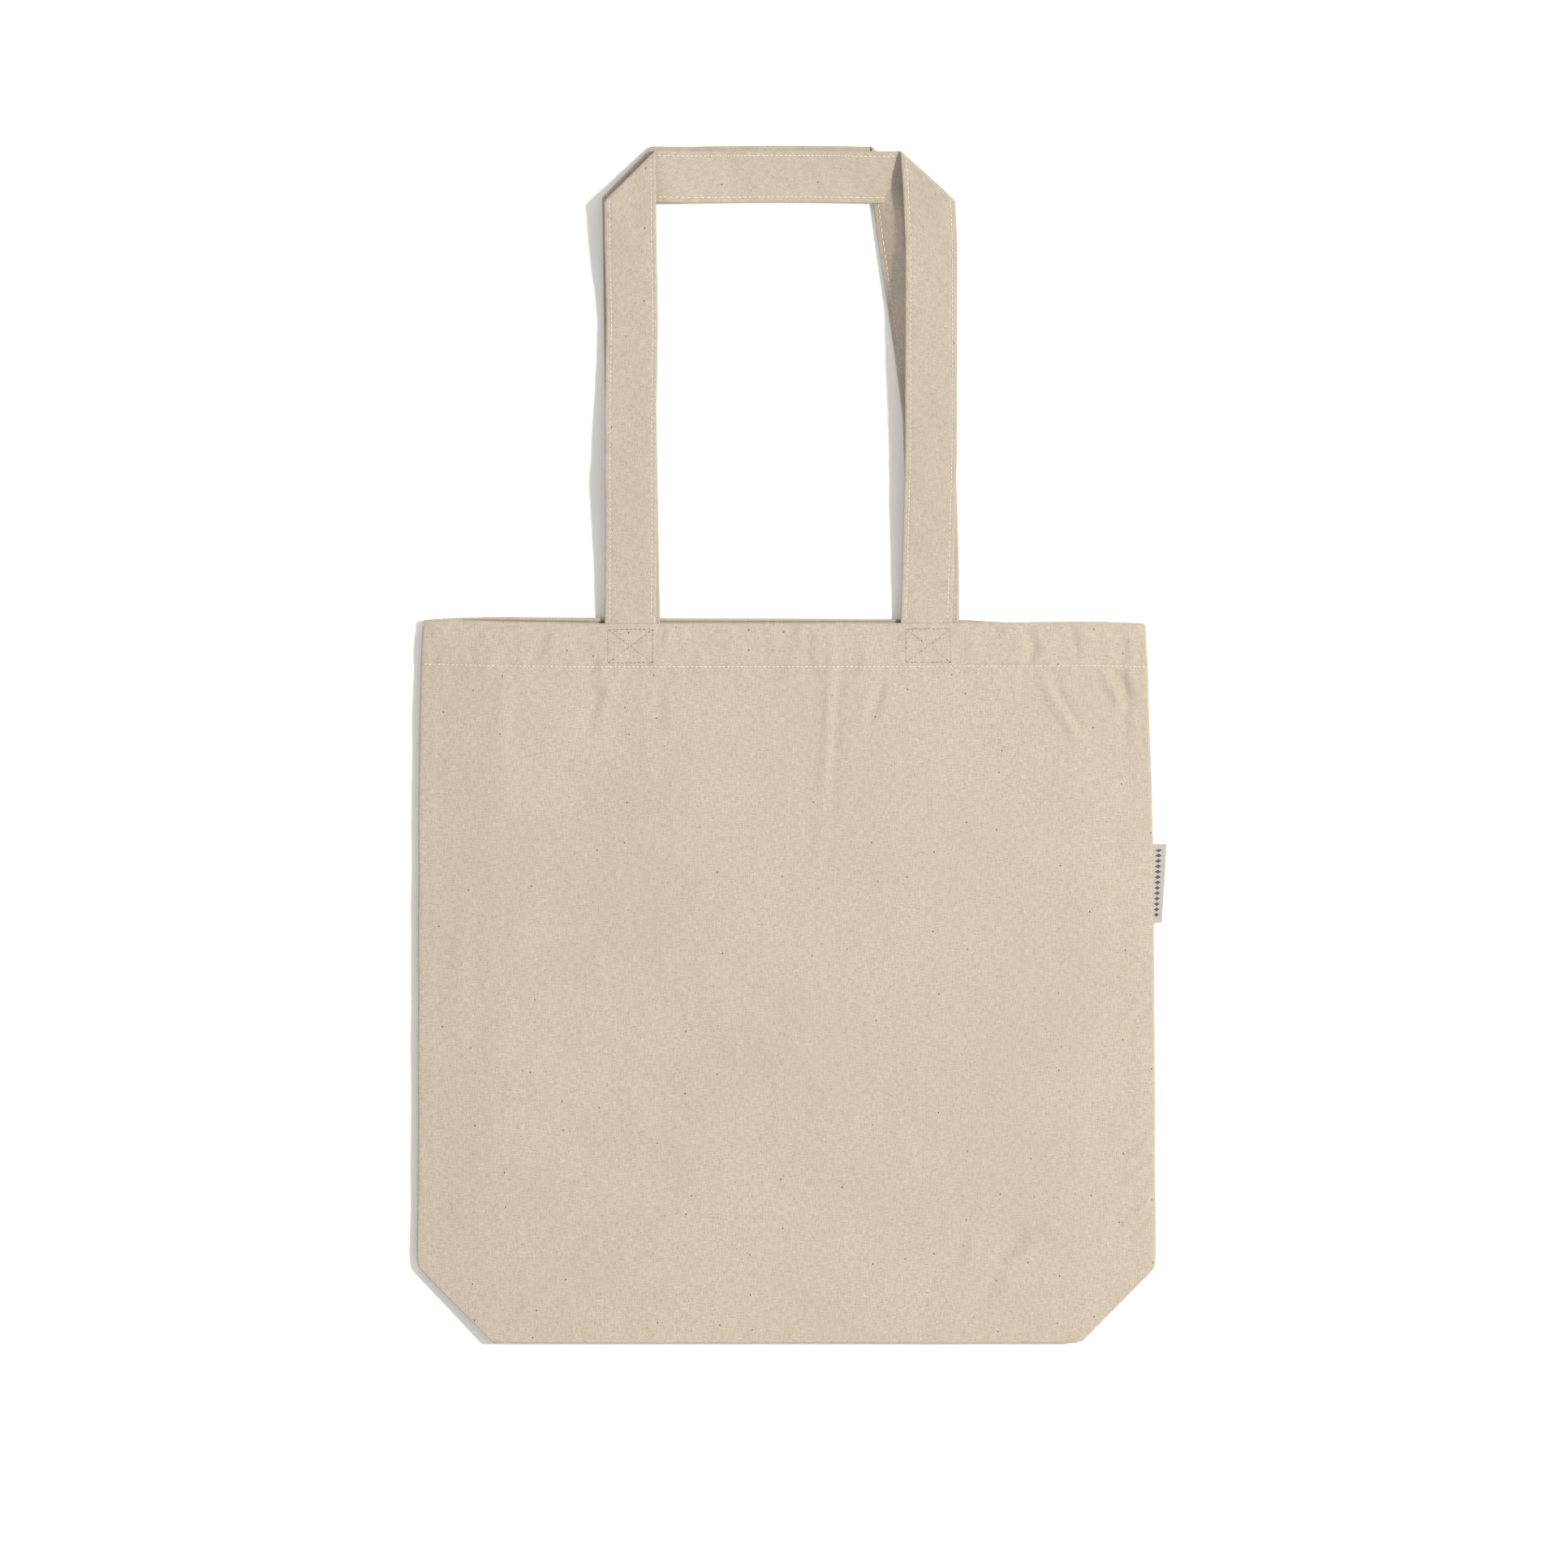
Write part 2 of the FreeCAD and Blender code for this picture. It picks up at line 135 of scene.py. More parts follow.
class ToteColours(bpy.types.PropertyGroup):
    """Colours of the cloth, the threads, the label and the floor."""

    canvas: colour("Canvas", "Main colour of the undyed cloth", (0.400, 0.343, 0.273))
    yarn_light: colour("Light yarn", "Pale yarns of the weave", (0.500, 0.442, 0.366))
    yarn_dark: colour("Dark yarn", "Dull yarns of the weave", (0.292, 0.236, 0.178))
    seed: colour("Seed speck", "Specks of cotton seed", (0.055, 0.030, 0.014))
    thread: colour("Thread", "White sewing thread", (0.64, 0.60, 0.53))
    box_thread: colour("Box thread", "Thread of the crossed boxes", (0.43, 0.36, 0.27))
    # Needle hole colour: painted shade, a dark colour standing in for the shadow inside the holes.
    needle_hole_shade: colour("Needle hole", "Shaded holes beside the stitches", (0.120, 0.085, 0.055))
    label: colour("Label", "Woven tape of the side label", (0.36, 0.335, 0.31))
    label_mark: colour("Label mark", "Woven mark on the label", (0.035, 0.032, 0.030))
    floor: colour("Floor", "Painted floor", (0.95, 0.945, 0.935))


class ToteStage(bpy.types.PropertyGroup):
    """Camera and light."""

    view_width: FloatProperty(
        name="View width", description="Width of the floor that the camera sees",
        default=0.8175, unit="LENGTH")
    camera_height: FloatProperty(
        name="Camera height", description="Height of the camera above the floor",
        default=3.6, unit="LENGTH")
    key_power: FloatProperty(
        name="Key light", description="Power of the key light in watts", default=180.0)
    fill: FloatProperty(
        name="Fill light", description="Strength of the even light from all round", default=0.79)


def settings():
    scene = bpy.context.scene
    return scene.tote_sizes, scene.tote_colours, scene.tote_stage


# ---------------------------------------------------------------- shapes of the cloth

def smooth(x, low, high):
    """0 below low, 1 above high, smooth between them."""
    t = np.clip((np.asarray(x, float) - low) / (high - low), 0, 1)
    return t * t * (3 - 2 * t)


def ripple(x, y, seed, shortest, longest, height, count=22):
    """Soft uneven waves with lengths from shortest to longest."""
    rng = np.random.default_rng(seed)
    total = 0.0
    for _ in range(count):
        turn, phase, share = rng.uniform(0, 2 * math.pi, 2).tolist() + [rng.uniform()]
        wave = 2 * math.pi / (shortest * (longest / shortest) ** share)
        total = total + np.cos(wave * (math.cos(turn) * x + math.sin(turn) * y) + phase)
    return height * total / math.sqrt(count)


def stroke(x, y, points, width, height, valley=0.5):
    """A soft crease along a line of points: a ridge with a valley on the left of its way."""
    best = np.full(np.shape(x), 1e9)
    side = np.zeros(np.shape(x))
    along = np.zeros(np.shape(x))
    lengths = [math.dist(a, b) for a, b in zip(points, points[1:])]
    done, total = 0.0, sum(lengths)
    for (ax, ay), (bx, by), length in zip(points, points[1:], lengths):
        ux, uy = (bx - ax) / length, (by - ay) / length
        t = np.clip((x - ax) * ux + (y - ay) * uy, 0, length)
        dx, dy = x - ax - ux * t, y - ay - uy * t
        distance = np.hypot(dx, dy)
        nearer = distance < best
        best = np.where(nearer, distance, best)
        side = np.where(nearer, dx * uy - dy * ux, side)
        along = np.where(nearer, (done + t) / total, along)
        done += length
    taper = np.sqrt(np.clip(4 * along * (1 - along), 0, 1))
    beyond = np.maximum(best - np.abs(side), 0)
    ridge = np.exp(-(side / width) ** 2) - valley * np.exp(-((side + 1.7 * width) / width) ** 2)
    return height * taper * ridge * np.exp(-(beyond / width) ** 2)


# Creases of the front cloth: the points of each line, its width, its height, and its valley.
FRONT_CREASES = (
    (((25, 184), (22, 131), (19, 88)), 2.6, 0.34, 0.7),
    (((21, 96), (16, 60)), 3.0, 0.14, 0.6),
    (((133, 162), (140, 146), (151, 129)), 2.4, 0.42, 0.8),
    (((145, 139), (158, 118)), 3.2, 0.16, 0.6),
    (((165, 163), (171, 152), (176, 141)), 3.0, 0.75, 0.8),
    (((176, 182), (176, 160), (177, 120)), 2.6, -0.30, 0.4),
    (((51, 160), (48, 148), (44, 136)), 2.8, -0.34, 0.5),
    (((45, 158), (38, 132)), 3.2, 0.16, 0.5),
    (((126, 184), (129, 174), (126, 166)), 2.4, -0.42, 0.6),
    (((149, 186), (151, 168)), 2.6, -0.18, 0.4),
    (((96, 184), (98, 168)), 3.2, 0.20, 0.5),
    (((110, 186), (116, 174)), 2.6, -0.16, 0.3),
    (((-104, 160), (-97, 148), (-104, 130)), 3.4, -0.34, 0.5),
    (((-86, 163), (-93, 150), (-99, 136)), 3.0, 0.26, 0.6),
    (((-97, 168), (-106, 160)), 2.6, -0.30, 0.3),
    (((-112, 176), (-104, 182), (-97, 186)), 3.2, -0.22, 0.3),
    (((-125, 184), (-128, 168)), 2.8, -0.22, 0.4),
    (((-119, 172), (-112, 164)), 2.6, -0.20, 0.4),
    (((-63, 160), (-66, 146), (-64, 128)), 3.0, -0.20, 0.5),
    (((-60, 186), (-62, 168)), 2.4, 0.20, 0.5),
    (((-48, 184), (-50, 166)), 2.6, -0.14, 0.4),
    (((12, 184), (11, 167)), 2.6, -0.16, 0.5),
    (((-146, 158), (-150, 118)), 4.4, 0.22, 0.5),
    (((189, -4), (180, -15), (172, -24)), 2.6, 0.22, 0.6),
    (((190, -36), (172, -42), (143, -48)), 3.0, 0.22, 0.6),
    (((191, -80), (186, -86), (178, -91)), 2.6, 0.55, 0.8),
    (((190, -95), (177, -103)), 2.8, 0.36, 0.7),
    (((191, -112), (183, -121), (176, -128)), 2.6, 0.50, 0.8),
    (((190, -128), (180, -134)), 2.6, 0.26, 0.6),
    (((126, -128), (116, -138), (108, -146)), 4.6, -0.52, 0.5),
    (((112, -152), (101, -166)), 3.6, -0.26, 0.5),
    (((94, -128), (89, -146)), 3.6, -0.26, 0.5),
    (((134, -124), (146, -132)), 4.0, 0.22, 0.5),
    (((-147, -181), (-131, -167), (-114, -152)), 3.6, 0.26, 0.6),
    (((-110, -146), (-96, -132)), 4.2, 0.14, 0.5),
    (((-146, -60), (-138, -44), (-126, -34)), 4.0, 0.12, 0.6),
    (((-90, -60), (-70, -52)), 5.0, 0.14, 0.6),
    (((60, -70), (66, -100)), 4.6, 0.12, 0.6),
    (((148, -183), (152.5, -188)), 1.3, 0.30, 0.6),
    (((-166, 60), (-170, 10), (-168, -40)), 5.0, 0.14, 0.5),
    (((172, 90), (174, 40), (172, -10)), 4.6, -0.12, 0.5),
)
# Wide shallow hollows and swells of the front cloth: place, half lengths, turn in degrees, height.
FRONT_SWELLS = (
    (-102, 118, 26, 52, -30, -0.75), (-62, 96, 20, 48, -32, 0.62), (-30, 60, 30, 70, -25, 0.42),
    (-140, 60, 22, 70, 6, 0.45), (60, 84, 30, 60, 10, 0.48), (104, 120, 16, 46, 18, -0.34),
    (6, -28, 60, 34, 20, 0.5), (-80, -40, 42, 30, -30, -0.5), (-128, -110, 30, 42, 20, 0.42),
    (38, -120, 46, 26, 0, -0.42), (118, -60, 26, 50, -12, 0.42), (148, 20, 18, 60, 4, -0.36),
    (92, -8, 34, 26, 40, -0.34), (-20, 140, 30, 22, 0, -0.34), (150, -110, 16, 26, 0, 0.30),
)


def swell(x, y, centre_x, centre_y, half_x, half_y, turn, height):
    angle = math.radians(turn)
    dx, dy = x - centre_x, y - centre_y
    u = (dx * math.cos(angle) + dy * math.sin(angle)) / half_x
    v = (dy * math.cos(angle) - dx * math.sin(angle)) / half_y
    return height * np.exp(-(u * u + v * v))


CREASE_GAIN = 2.7
SWELL_GAIN = 1.7


def front_relief(x, y):
    """How far the front cloth stands out of its flat place, in millimetres."""
    x, y = np.asarray(x, float), np.asarray(y, float)
    total = ripple(x, y, 11, 34, 90, 0.24) + ripple(x, y * 0.55, 12, 9, 26, 0.10)
    for points, width, height, valley in FRONT_CREASES:
        total = total + stroke(x, y, points, width, height * CREASE_GAIN, valley)
    for row in FRONT_SWELLS:
        total = total + SWELL_GAIN * swell(x, y, *row)
    in_hem = smooth(y, HEM_EDGE_Y - 8, HEM_EDGE_Y + 4)
    total = total + ripple(x, y * 0.8, 13, 6, 24, 0.20) * in_hem
    total = total + ripple(x, y * 0.4, 14, 9, 30, 0.22) * in_hem
    return total + telegraph(x, y)


def telegraph(x, y):
    """Layers beneath that show through: the hem, its stitching, the strap ends and the seams."""
    hem = 0.42 * smooth(y, HEM_EDGE_Y - 1.2, HEM_EDGE_Y + 1.6)
    groove = -0.5 * np.exp(-((y - HEM_STITCH_Y) / 1.1) ** 2)
    pucker = ripple(x, y * 0.25, 21, 4.2, 9.0, 0.13) * np.exp(-((y - HEM_STITCH_Y) / 7.0) ** 2)
    ends = 0.0
    for low, high in ((STRAP_LOW[0], STRAP_HIGH[0]), (STRAP_RIGHT_LOW[0], STRAP_RIGHT_HIGH[0])):
        across = smooth(x, low - 1.6, low + 1.2) * (1 - smooth(x, high - 1.2, high + 1.6))
        ends = ends + 0.30 * across * smooth(y, STRAP_END_Y - 1.8, STRAP_END_Y + 0.8)
        ends = ends - 0.16 * box_groove(x, y, (low + high) / 2)
    inner = SEAM_X - 10.5
    sides = 0.16 * smooth(np.abs(x), inner - 1.2, inner + 1.0) * (1 - smooth(y, 150, 164))
    edge_dips = ripple(x * 0.4, y, 22, 7, 16, 0.07) * smooth(np.abs(x), inner - 6, inner + 4)
    base = 0.13 * (1 - smooth(y, BASE_SEAM_Y - 1.0, BASE_SEAM_Y + 1.4))
    return hem + groove + pucker + ends + sides + edge_dips + base


def box_groove(x, y, middle):
    """Dent along the outline of one crossed box of stitching."""
    half_x, half_y = 12.0, 9.0
    u, v = np.abs(x - middle), np.abs(y - BOX_CENTRE_Y)
    edge = np.abs(np.maximum(u - half_x, v - half_y))
    cross = np.abs(u * half_y - v * half_x) / math.hypot(half_x, half_y)
    inside = (u < half_x) & (v < half_y)
    return np.exp(-(edge / 1.0) ** 2) + np.where(inside, 0.8 * np.exp(-(cross / 1.0) ** 2), 0)


def back_relief(x, y):
    """Relief of the back cloth, in millimetres: below zero is off the floor. It lifts at the mouth,
    and rolls down again in a narrow line beside the front edge."""
    x, y = np.asarray(x, float), np.asarray(y, float)
    waves = ripple(x, y, 31, 30, 80, 0.30) + ripple(x, y, 32, 10, 24, 0.05)
    crease_y = MOUTH_Y + mouth_shift(1, x) - mouth_shift(-1, x) + 0.35
    roll = 1.3 * np.exp(-((y - crease_y) / 0.55) ** 2) * (crease_y < MOUTH_Y - 0.9)
    lift = smooth(y, 150, MOUTH_Y) * (1.7 + 0.3 * np.exp(-((x + 120) / 50.0) ** 2))
    return np.minimum(-np.abs(waves) + 0.30 * smooth(y, HEM_EDGE_Y - 1.5, HEM_EDGE_Y + 1.5), 0) - lift + roll


def edge_x(side, y):
    """Distance of the pressed side edge from the middle line at height y."""
    if side > 0:
        heights, places = (-139, 0, 89, 160, MOUTH_Y), (193.0, 192.3, 191.3, 188.9, 187.6)
    else:
        heights, places = (-147, -122, 89, 135, 161, MOUTH_Y), (191.9, 191.3, 191.1, 190.6, 189.7, 188.6)
    soft = np.zeros(np.shape(y))
    for shift in (-12, -4, 4, 12):
        soft = soft + np.interp(np.asarray(y, float) + shift, heights, places) / 4
    return soft + ripple(np.asarray(y, float), 0.0, 41 + side, 26, 70, 0.16)


def mouth_shift(layer, x):
    """How far the mouth edge stands above its straight line."""
    if layer > 0:
        places = (-188, -168, -150, -100, -60, 60, 110, 160, 176, 188)
        shifts = (1.5, 0.8, 0.3, -0.5, -0.4, -0.3, 0.0, 0.5, 0.1, -0.6)
    else:
        places = (-188, -176, -155, -96, -60, 0, 60, 92, 108, 125, 188)
        shifts = (1.2, 2.3, 3.0, 2.6, 2.3, 2.1, 1.8, 1.6, 0.5, -0.3, -0.9)
    soft = 0.0
    for move in (-6, -2, 2, 6):
        soft = soft + np.interp(np.asarray(x, float) + move, places, shifts) / 4
    return soft


def fold_height(x):
    """Height of the outer face above the middle plane, before its wrinkles."""
    past = np.abs(x) - CREASE_X
    soft = 2.2 * np.logaddexp(0, past / 2.2)
    return HALF_HEIGHT - FOLD_SLOPE * soft


HOOK = 0.8
BASE_INSET = 0.9
CORNER_INSET = {1: 0.0, -1: 1.3}


def corner_line(side):
    """The two ends of the folded corner: on the side edge and on the base edge."""
    reach = SEAM_X - BASE_SEAM_Y + (HOOK - CORNER_INSET[side]) * math.sqrt(2)
    low_y = BASE_Y + BASE_INSET - HOOK
    return (edge_x(side, BASE_SEAM_Y), edge_x(side, BASE_SEAM_Y) - reach), (reach + low_y, low_y)


def row_end(side, y):
    """Outermost x of a row, and the direction that its edge faces."""
    (top_x, top_y), (low_x, low_y) = corner_line(side)
    straight = edge_x(side, y)
    slant = low_x + (y - low_y) * (top_x - low_x) / (top_y - low_y)
    width = 1.1
    gap = (slant - straight) / width
    ends = np.where(y > top_y + 12, straight, straight - width * np.logaddexp(0, -gap))
    turn = np.radians(45) * (1 - smooth(y, top_y - 3, top_y + 3))
    return ends, np.stack([np.cos(turn), -np.sin(turn)], -1)


def spaced(*parts):
    """Rising positions from (start, end, step) parts."""
    values = []
    for start, end, step in parts:
        count = max(1, round((end - start) / step))
        values.extend(start + (end - start) * k / count for k in range(count))
    return np.array(values + [parts[-1][1]])


RELIEF = {1: front_relief, -1: back_relief}
LIP_DIP = 1.3
LEAST_HEIGHT = 0.85


def cloth_point(layer, x, y, depth=0.0):
    """Places on the cloth: depth 0 is the outer face, and more is further into the bag."""
    mouth = smooth(y, 110, MOUTH_Y) * mouth_shift(layer, x)
    height = fold_height(x) + RELIEF[layer](x, y) * settings()[0].wrinkle
    if layer > 0:
        height = height - LIP_DIP * smooth(y, MOUTH_Y - 9, MOUTH_Y)
    height = np.maximum(height, LEAST_HEIGHT) - depth
    return np.stack([x, y + mouth, MIDDLE_Z + layer * height], -1)


# ---------------------------------------------------------------- mesh helpers

def grid_quads(rows, cols, start=0):
    index = start + np.arange(rows * cols).reshape(rows, cols)
    return np.stack([index[:-1, :-1], index[:-1, 1:], index[1:, 1:], index[1:, :-1]], -1).reshape(-1, 4)


def build(name, points, faces, uv, material):
    """An object at the origin from points in millimetres."""
    mesh = bpy.data.meshes.new(name)
    mesh.from_pydata((np.asarray(points) * MM).tolist(), [], [list(f) for f in faces])
    layer = mesh.uv_layers.new(name=UV_NAME)
    corners = np.empty(len(mesh.loops), np.int32)
    mesh.loops.foreach_get("vertex_index", corners)
    layer.data.foreach_set("uv", (np.asarray(uv)[corners] * MM).astype(np.float32).ravel())
    mesh.polygons.foreach_set("use_smooth", np.ones(len(mesh.polygons), bool))
    mesh.materials.append(material)
    mesh.validate()
    thing = bpy.data.objects.new(name, mesh)
    bpy.context.scene.collection.objects.link(thing)
    return thing


def sharpen(mesh, ring):
    """Marks the edges along a ring of points sharp, so that the face keeps its own shading."""
    count = len(mesh.edges)
    ends = np.empty(count * 2, np.int32)
    mesh.edges.foreach_get("vertices", ends)
    on_ring = np.zeros(len(mesh.vertices), bool)
    on_ring[ring] = True
    ends = ends.reshape(-1, 2)
    mesh.edges.foreach_set("use_edge_sharp", on_ring[ends[:, 0]] & on_ring[ends[:, 1]])


def face_normals(grid):
    across = np.gradient(grid, axis=1)
    along = np.gradient(grid, axis=0)
    normal = np.cross(across, along)
    return normal / np.maximum(np.linalg.norm(normal, axis=-1, keepdims=True), TINY)


RIM_BULGE = 0.12


def shell(outer, thickness, flip=False, keep=None):
    """A closed cloth under a grid of outer face points, with a rounded rim. keep marks the
    squares that are cloth. Returns points, faces, grid index and the points of its border."""
    rows, cols = outer.shape[:2]
    normal = face_normals(outer)
    if flip:
        normal = -normal
    inner = outer - normal * np.broadcast_to(thickness, (rows, cols))[..., None]
    count = rows * cols
    top = grid_quads(rows, cols)
    if flip:
        top = top[:, ::-1]
    if keep is not None:
        top = top[keep.ravel()]
    edges = np.concatenate([top[:, [k, (k + 1) % 4]] for k in range(4)])
    edges = edges[~np.isin(edges[:, 0] * count + edges[:, 1], edges[:, 1] * count + edges[:, 0])]
    flat_outer, flat_inner = outer.reshape(-1, 3), inner.reshape(-1, 3)
    out_way = np.cross(flat_outer[edges[:, 1]] - flat_outer[edges[:, 0]], normal.reshape(-1, 3)[edges[:, 0]])
    outward = np.zeros((count, 3))
    np.add.at(outward, edges[:, 0], out_way)
    np.add.at(outward, edges[:, 1], out_way)
    ring = np.unique(edges)
    outward = outward[ring] / np.maximum(np.linalg.norm(outward[ring], axis=-1, keepdims=True), TINY)
    gap = np.linalg.norm(flat_outer[ring] - flat_inner[ring], axis=-1, keepdims=True)
    rim = (flat_outer[ring] + flat_inner[ring]) / 2 + outward * gap * RIM_BULGE
    points = np.concatenate([flat_outer, flat_inner, rim])
    rim_index = np.zeros(count, int)
    rim_index[ring] = 2 * count + np.arange(len(ring))
    a, b = edges[:, 0], edges[:, 1]
    upper = np.stack([b, a, rim_index[a], rim_index[b]], -1)
    lower = np.stack([a + count, b + count, rim_index[b], rim_index[a]], -1)
    faces = np.concatenate([top, top[:, ::-1] + count, upper, lower])
    used = np.unique(faces)
    place = np.zeros(len(points), int)
    place[used] = np.arange(len(used))
    source = np.concatenate([np.arange(count), np.arange(count), ring])
    return points[used], place[faces], source[used], place[np.concatenate([ring, count + ring])]


def cloth_sheet(name, outer, thickness, uv, flip=False, keep=None, look=("canvas", "bag_canvas")):
    """One closed piece of cloth from its outer face points. look is its material and a slot name, which is
    not used.
    """
    material, slot = look
    points, faces, source, ring = shell(outer, thickness, flip, keep)
    thing = build(name, points, faces, uv.reshape(-1, 2)[source], MATERIALS[material])
    sharpen(thing.data, ring)
    return thing


def unit(vector):
    vector = np.asarray(vector, float)
    return vector / max(np.linalg.norm(vector), TINY)


STITCH_SIDES = 6
# Rings of one stitch: place along its length, size, and rise in diameters.
STITCH_RINGS = ((-0.5, 0.55, -0.55), (-0.3, 0.95, 0.05), (0.0, 1.0, 0.28), (0.3, 0.95, 0.05),
                (0.5, 0.55, -0.55))


def stitch_mesh(starts, ends, ups, radius):
    """Small raised stitches. Each arches up out of the cloth between its two needle holes."""
    starts, ends, ups = (np.asarray(v, float) for v in (starts, ends, ups))
    along = ends - starts
    length = np.linalg.norm(along, axis=-1, keepdims=True)
    along = along / np.maximum(length, TINY)
    side = np.cross(along, ups)
    side /= np.maximum(np.linalg.norm(side, axis=-1, keepdims=True), TINY)
    up = np.cross(side, along)
    rings = []
    for share, size, rise in STITCH_RINGS:
        centre = (starts + ends) / 2 + along * length * share + up * rise * radius * 2
        for k in range(STITCH_SIDES):
            angle = 2 * math.pi * k / STITCH_SIDES
            rings.append(centre + radius * size * (math.cos(angle) * side + math.sin(angle) * up))
    points = np.stack(rings, 1)
    per = len(STITCH_RINGS) * STITCH_SIDES
    template = []
    for ring in range(len(STITCH_RINGS) - 1):
        for k in range(STITCH_SIDES):
            a, b = ring * STITCH_SIDES + k, ring * STITCH_SIDES + (k + 1) % STITCH_SIDES
            template.append((a, a + STITCH_SIDES, b + STITCH_SIDES, b))
    caps = [tuple(range(STITCH_SIDES)), tuple(range(per - 1, per - 1 - STITCH_SIDES, -1))]
    faces = []
    for index in range(len(points)):
        shift = index * per
        faces.extend([tuple(v + shift for v in face) for face in template + caps])
    return points.reshape(-1, 3), faces


def join(parts):
    """One list of points and faces from several."""
    points, faces, shift = [], [], 0
    for some_points, some_faces in parts:
        points.append(np.asarray(some_points))
        faces.extend([tuple(int(v) + shift for v in face) for face in some_faces])
        shift += len(some_points)
    return np.concatenate(points), faces


def stitches(name, runs, radius, material):
    """One object for several runs of stitching. Each run is starts, ends and up directions."""
    points, faces = join([stitch_mesh(*run, radius) for run in runs])
    return build(name, points, faces, points[:, :2], material)


def run_along(place, up, start, end, pitch, share=0.74, seed=5):
    """Stitches along a path: place and up take positions from start to end."""
    count = max(2, round((end - start) / pitch))
    rng = np.random.default_rng(seed)
    cuts = np.linspace(start, end, count + 1)
    middle = (cuts[:-1] + cuts[1:]) / 2
    half = (cuts[1:] - cuts[:-1]) * share / 2 * rng.uniform(0.88, 1.08, count)
    drift = rng.normal(0, 0.05, count)
    return place(middle - half, drift), place(middle + half, -drift), up(middle)


def tube_mesh(path, radius, sides=5):
    """A thread along a path of points."""
    path = np.asarray(path, float)
    along = np.gradient(path, axis=0)
    along /= np.maximum(np.linalg.norm(along, axis=-1, keepdims=True), TINY)
    reference = np.where(np.abs(along[:, 2:3]) > 0.8, [[1.0, 0.0, 0.0]], [[0.0, 0.0, 1.0]])
    side = np.cross(along, reference)
    side /= np.maximum(np.linalg.norm(side, axis=-1, keepdims=True), TINY)
    up = np.cross(side, along)
    angles = 2 * math.pi * np.arange(sides) / sides
    rings = path[:, None] + radius * (np.cos(angles)[None, :, None] * side[:, None]
                                      + np.sin(angles)[None, :, None] * up[:, None])
    faces = []
    for ring in range(len(path) - 1):
        for k in range(sides):
            a, b = ring * sides + k, ring * sides + (k + 1) % sides
            faces.append((a, a + sides, b + sides, b))
    last = (len(path) - 1) * sides
    faces.append(tuple(range(sides)))
    faces.append(tuple(range(last + sides - 1, last - 1, -1)))
    return rings.reshape(-1, 3), faces


# ---------------------------------------------------------------- materials

def add(tree, kind, *values, out=0, **options):
    """A node with its options and its inputs in order. None leaves an input as it is."""
    node = tree.nodes.new(kind)
    for key, value in options.items():
        setattr(node, key, value)
    for socket, value in zip(node.inputs, values):
        if isinstance(value, bpy.types.NodeSocket):
            tree.links.new(value, socket)
        elif value is not None:
            socket.default_value = value
    return node.outputs[out]


def maths(tree, operation, *values, clamp=False):
    return add(tree, "ShaderNodeMath", *values, operation=operation, use_clamp=clamp)


def scaled(tree, vector, x, y, z=1.0):
    return add(tree, "ShaderNodeMapping", vector, None, None, (x, y, z))


def noise(tree, vector, scale, detail=2.0, rough=0.5):
    return add(tree, "ShaderNodeTexNoise", vector, None, scale, detail, rough)


def ramp(tree, value, low, high, start=0.0, end=1.0):
    return add(tree, "ShaderNodeMapRange", value, low, high, start, end, clamp=True)


def mix(tree, factor, first, second, blend="MIX"):
    return add(tree, "ShaderNodeMixRGB", factor, first, second, blend_type=blend)


def rgba(value):
    return (*value, 1.0)


def tint(colour, *shares):
    """A colour made lighter, darker or warmer: one share for all of it, or one for each part."""
    shares = shares * 3 if len(shares) == 1 else shares
    return rgba([min(1.0, part * share) for part, share in zip(colour, shares)])


def bump(tree, strength, distance, height, under=None):
    """Fine relief from a pattern, over another one if given."""
    node = tree.nodes.new("ShaderNodeBump")
    node.inputs["Strength"].default_value = strength
    node.inputs["Distance"].default_value = distance
    tree.links.new(height, node.inputs["Height"])
    if under is not None:
        tree.links.new(under, node.inputs["Normal"])
    return node.outputs[0]


def set_surface(tree, shader, tone, normal, roughness, gloss):
    if normal is not None:
        tree.links.new(normal, shader.inputs["Normal"])
    tree.links.new(tone, shader.inputs["Base Color"])
    shader.inputs["Roughness"].default_value = roughness
    shader.inputs["Specular IOR Level"].default_value = gloss


def new_material(name):
    """A material with only a shader and its output: returns it, its tree and its shader."""
    material = bpy.data.materials.get(name) or bpy.data.materials.new(name)
    material.use_nodes = True
    tree = material.node_tree
    tree.nodes.clear()
    shader = tree.nodes.new("ShaderNodeBsdfPrincipled")
    output = tree.nodes.new("ShaderNodeOutputMaterial")
    tree.links.new(shader.outputs[0], output.inputs[0])
    return material, tree, shader


# Seed specks: spacing in steps, share of places left empty, radius in millimetres, and darkness.
SPECKS = ((1.0, 0.82, 0.24, 0.55), (0.55, 0.90, 0.19, 0.45), (2.6, 0.76, 0.36, 0.85))


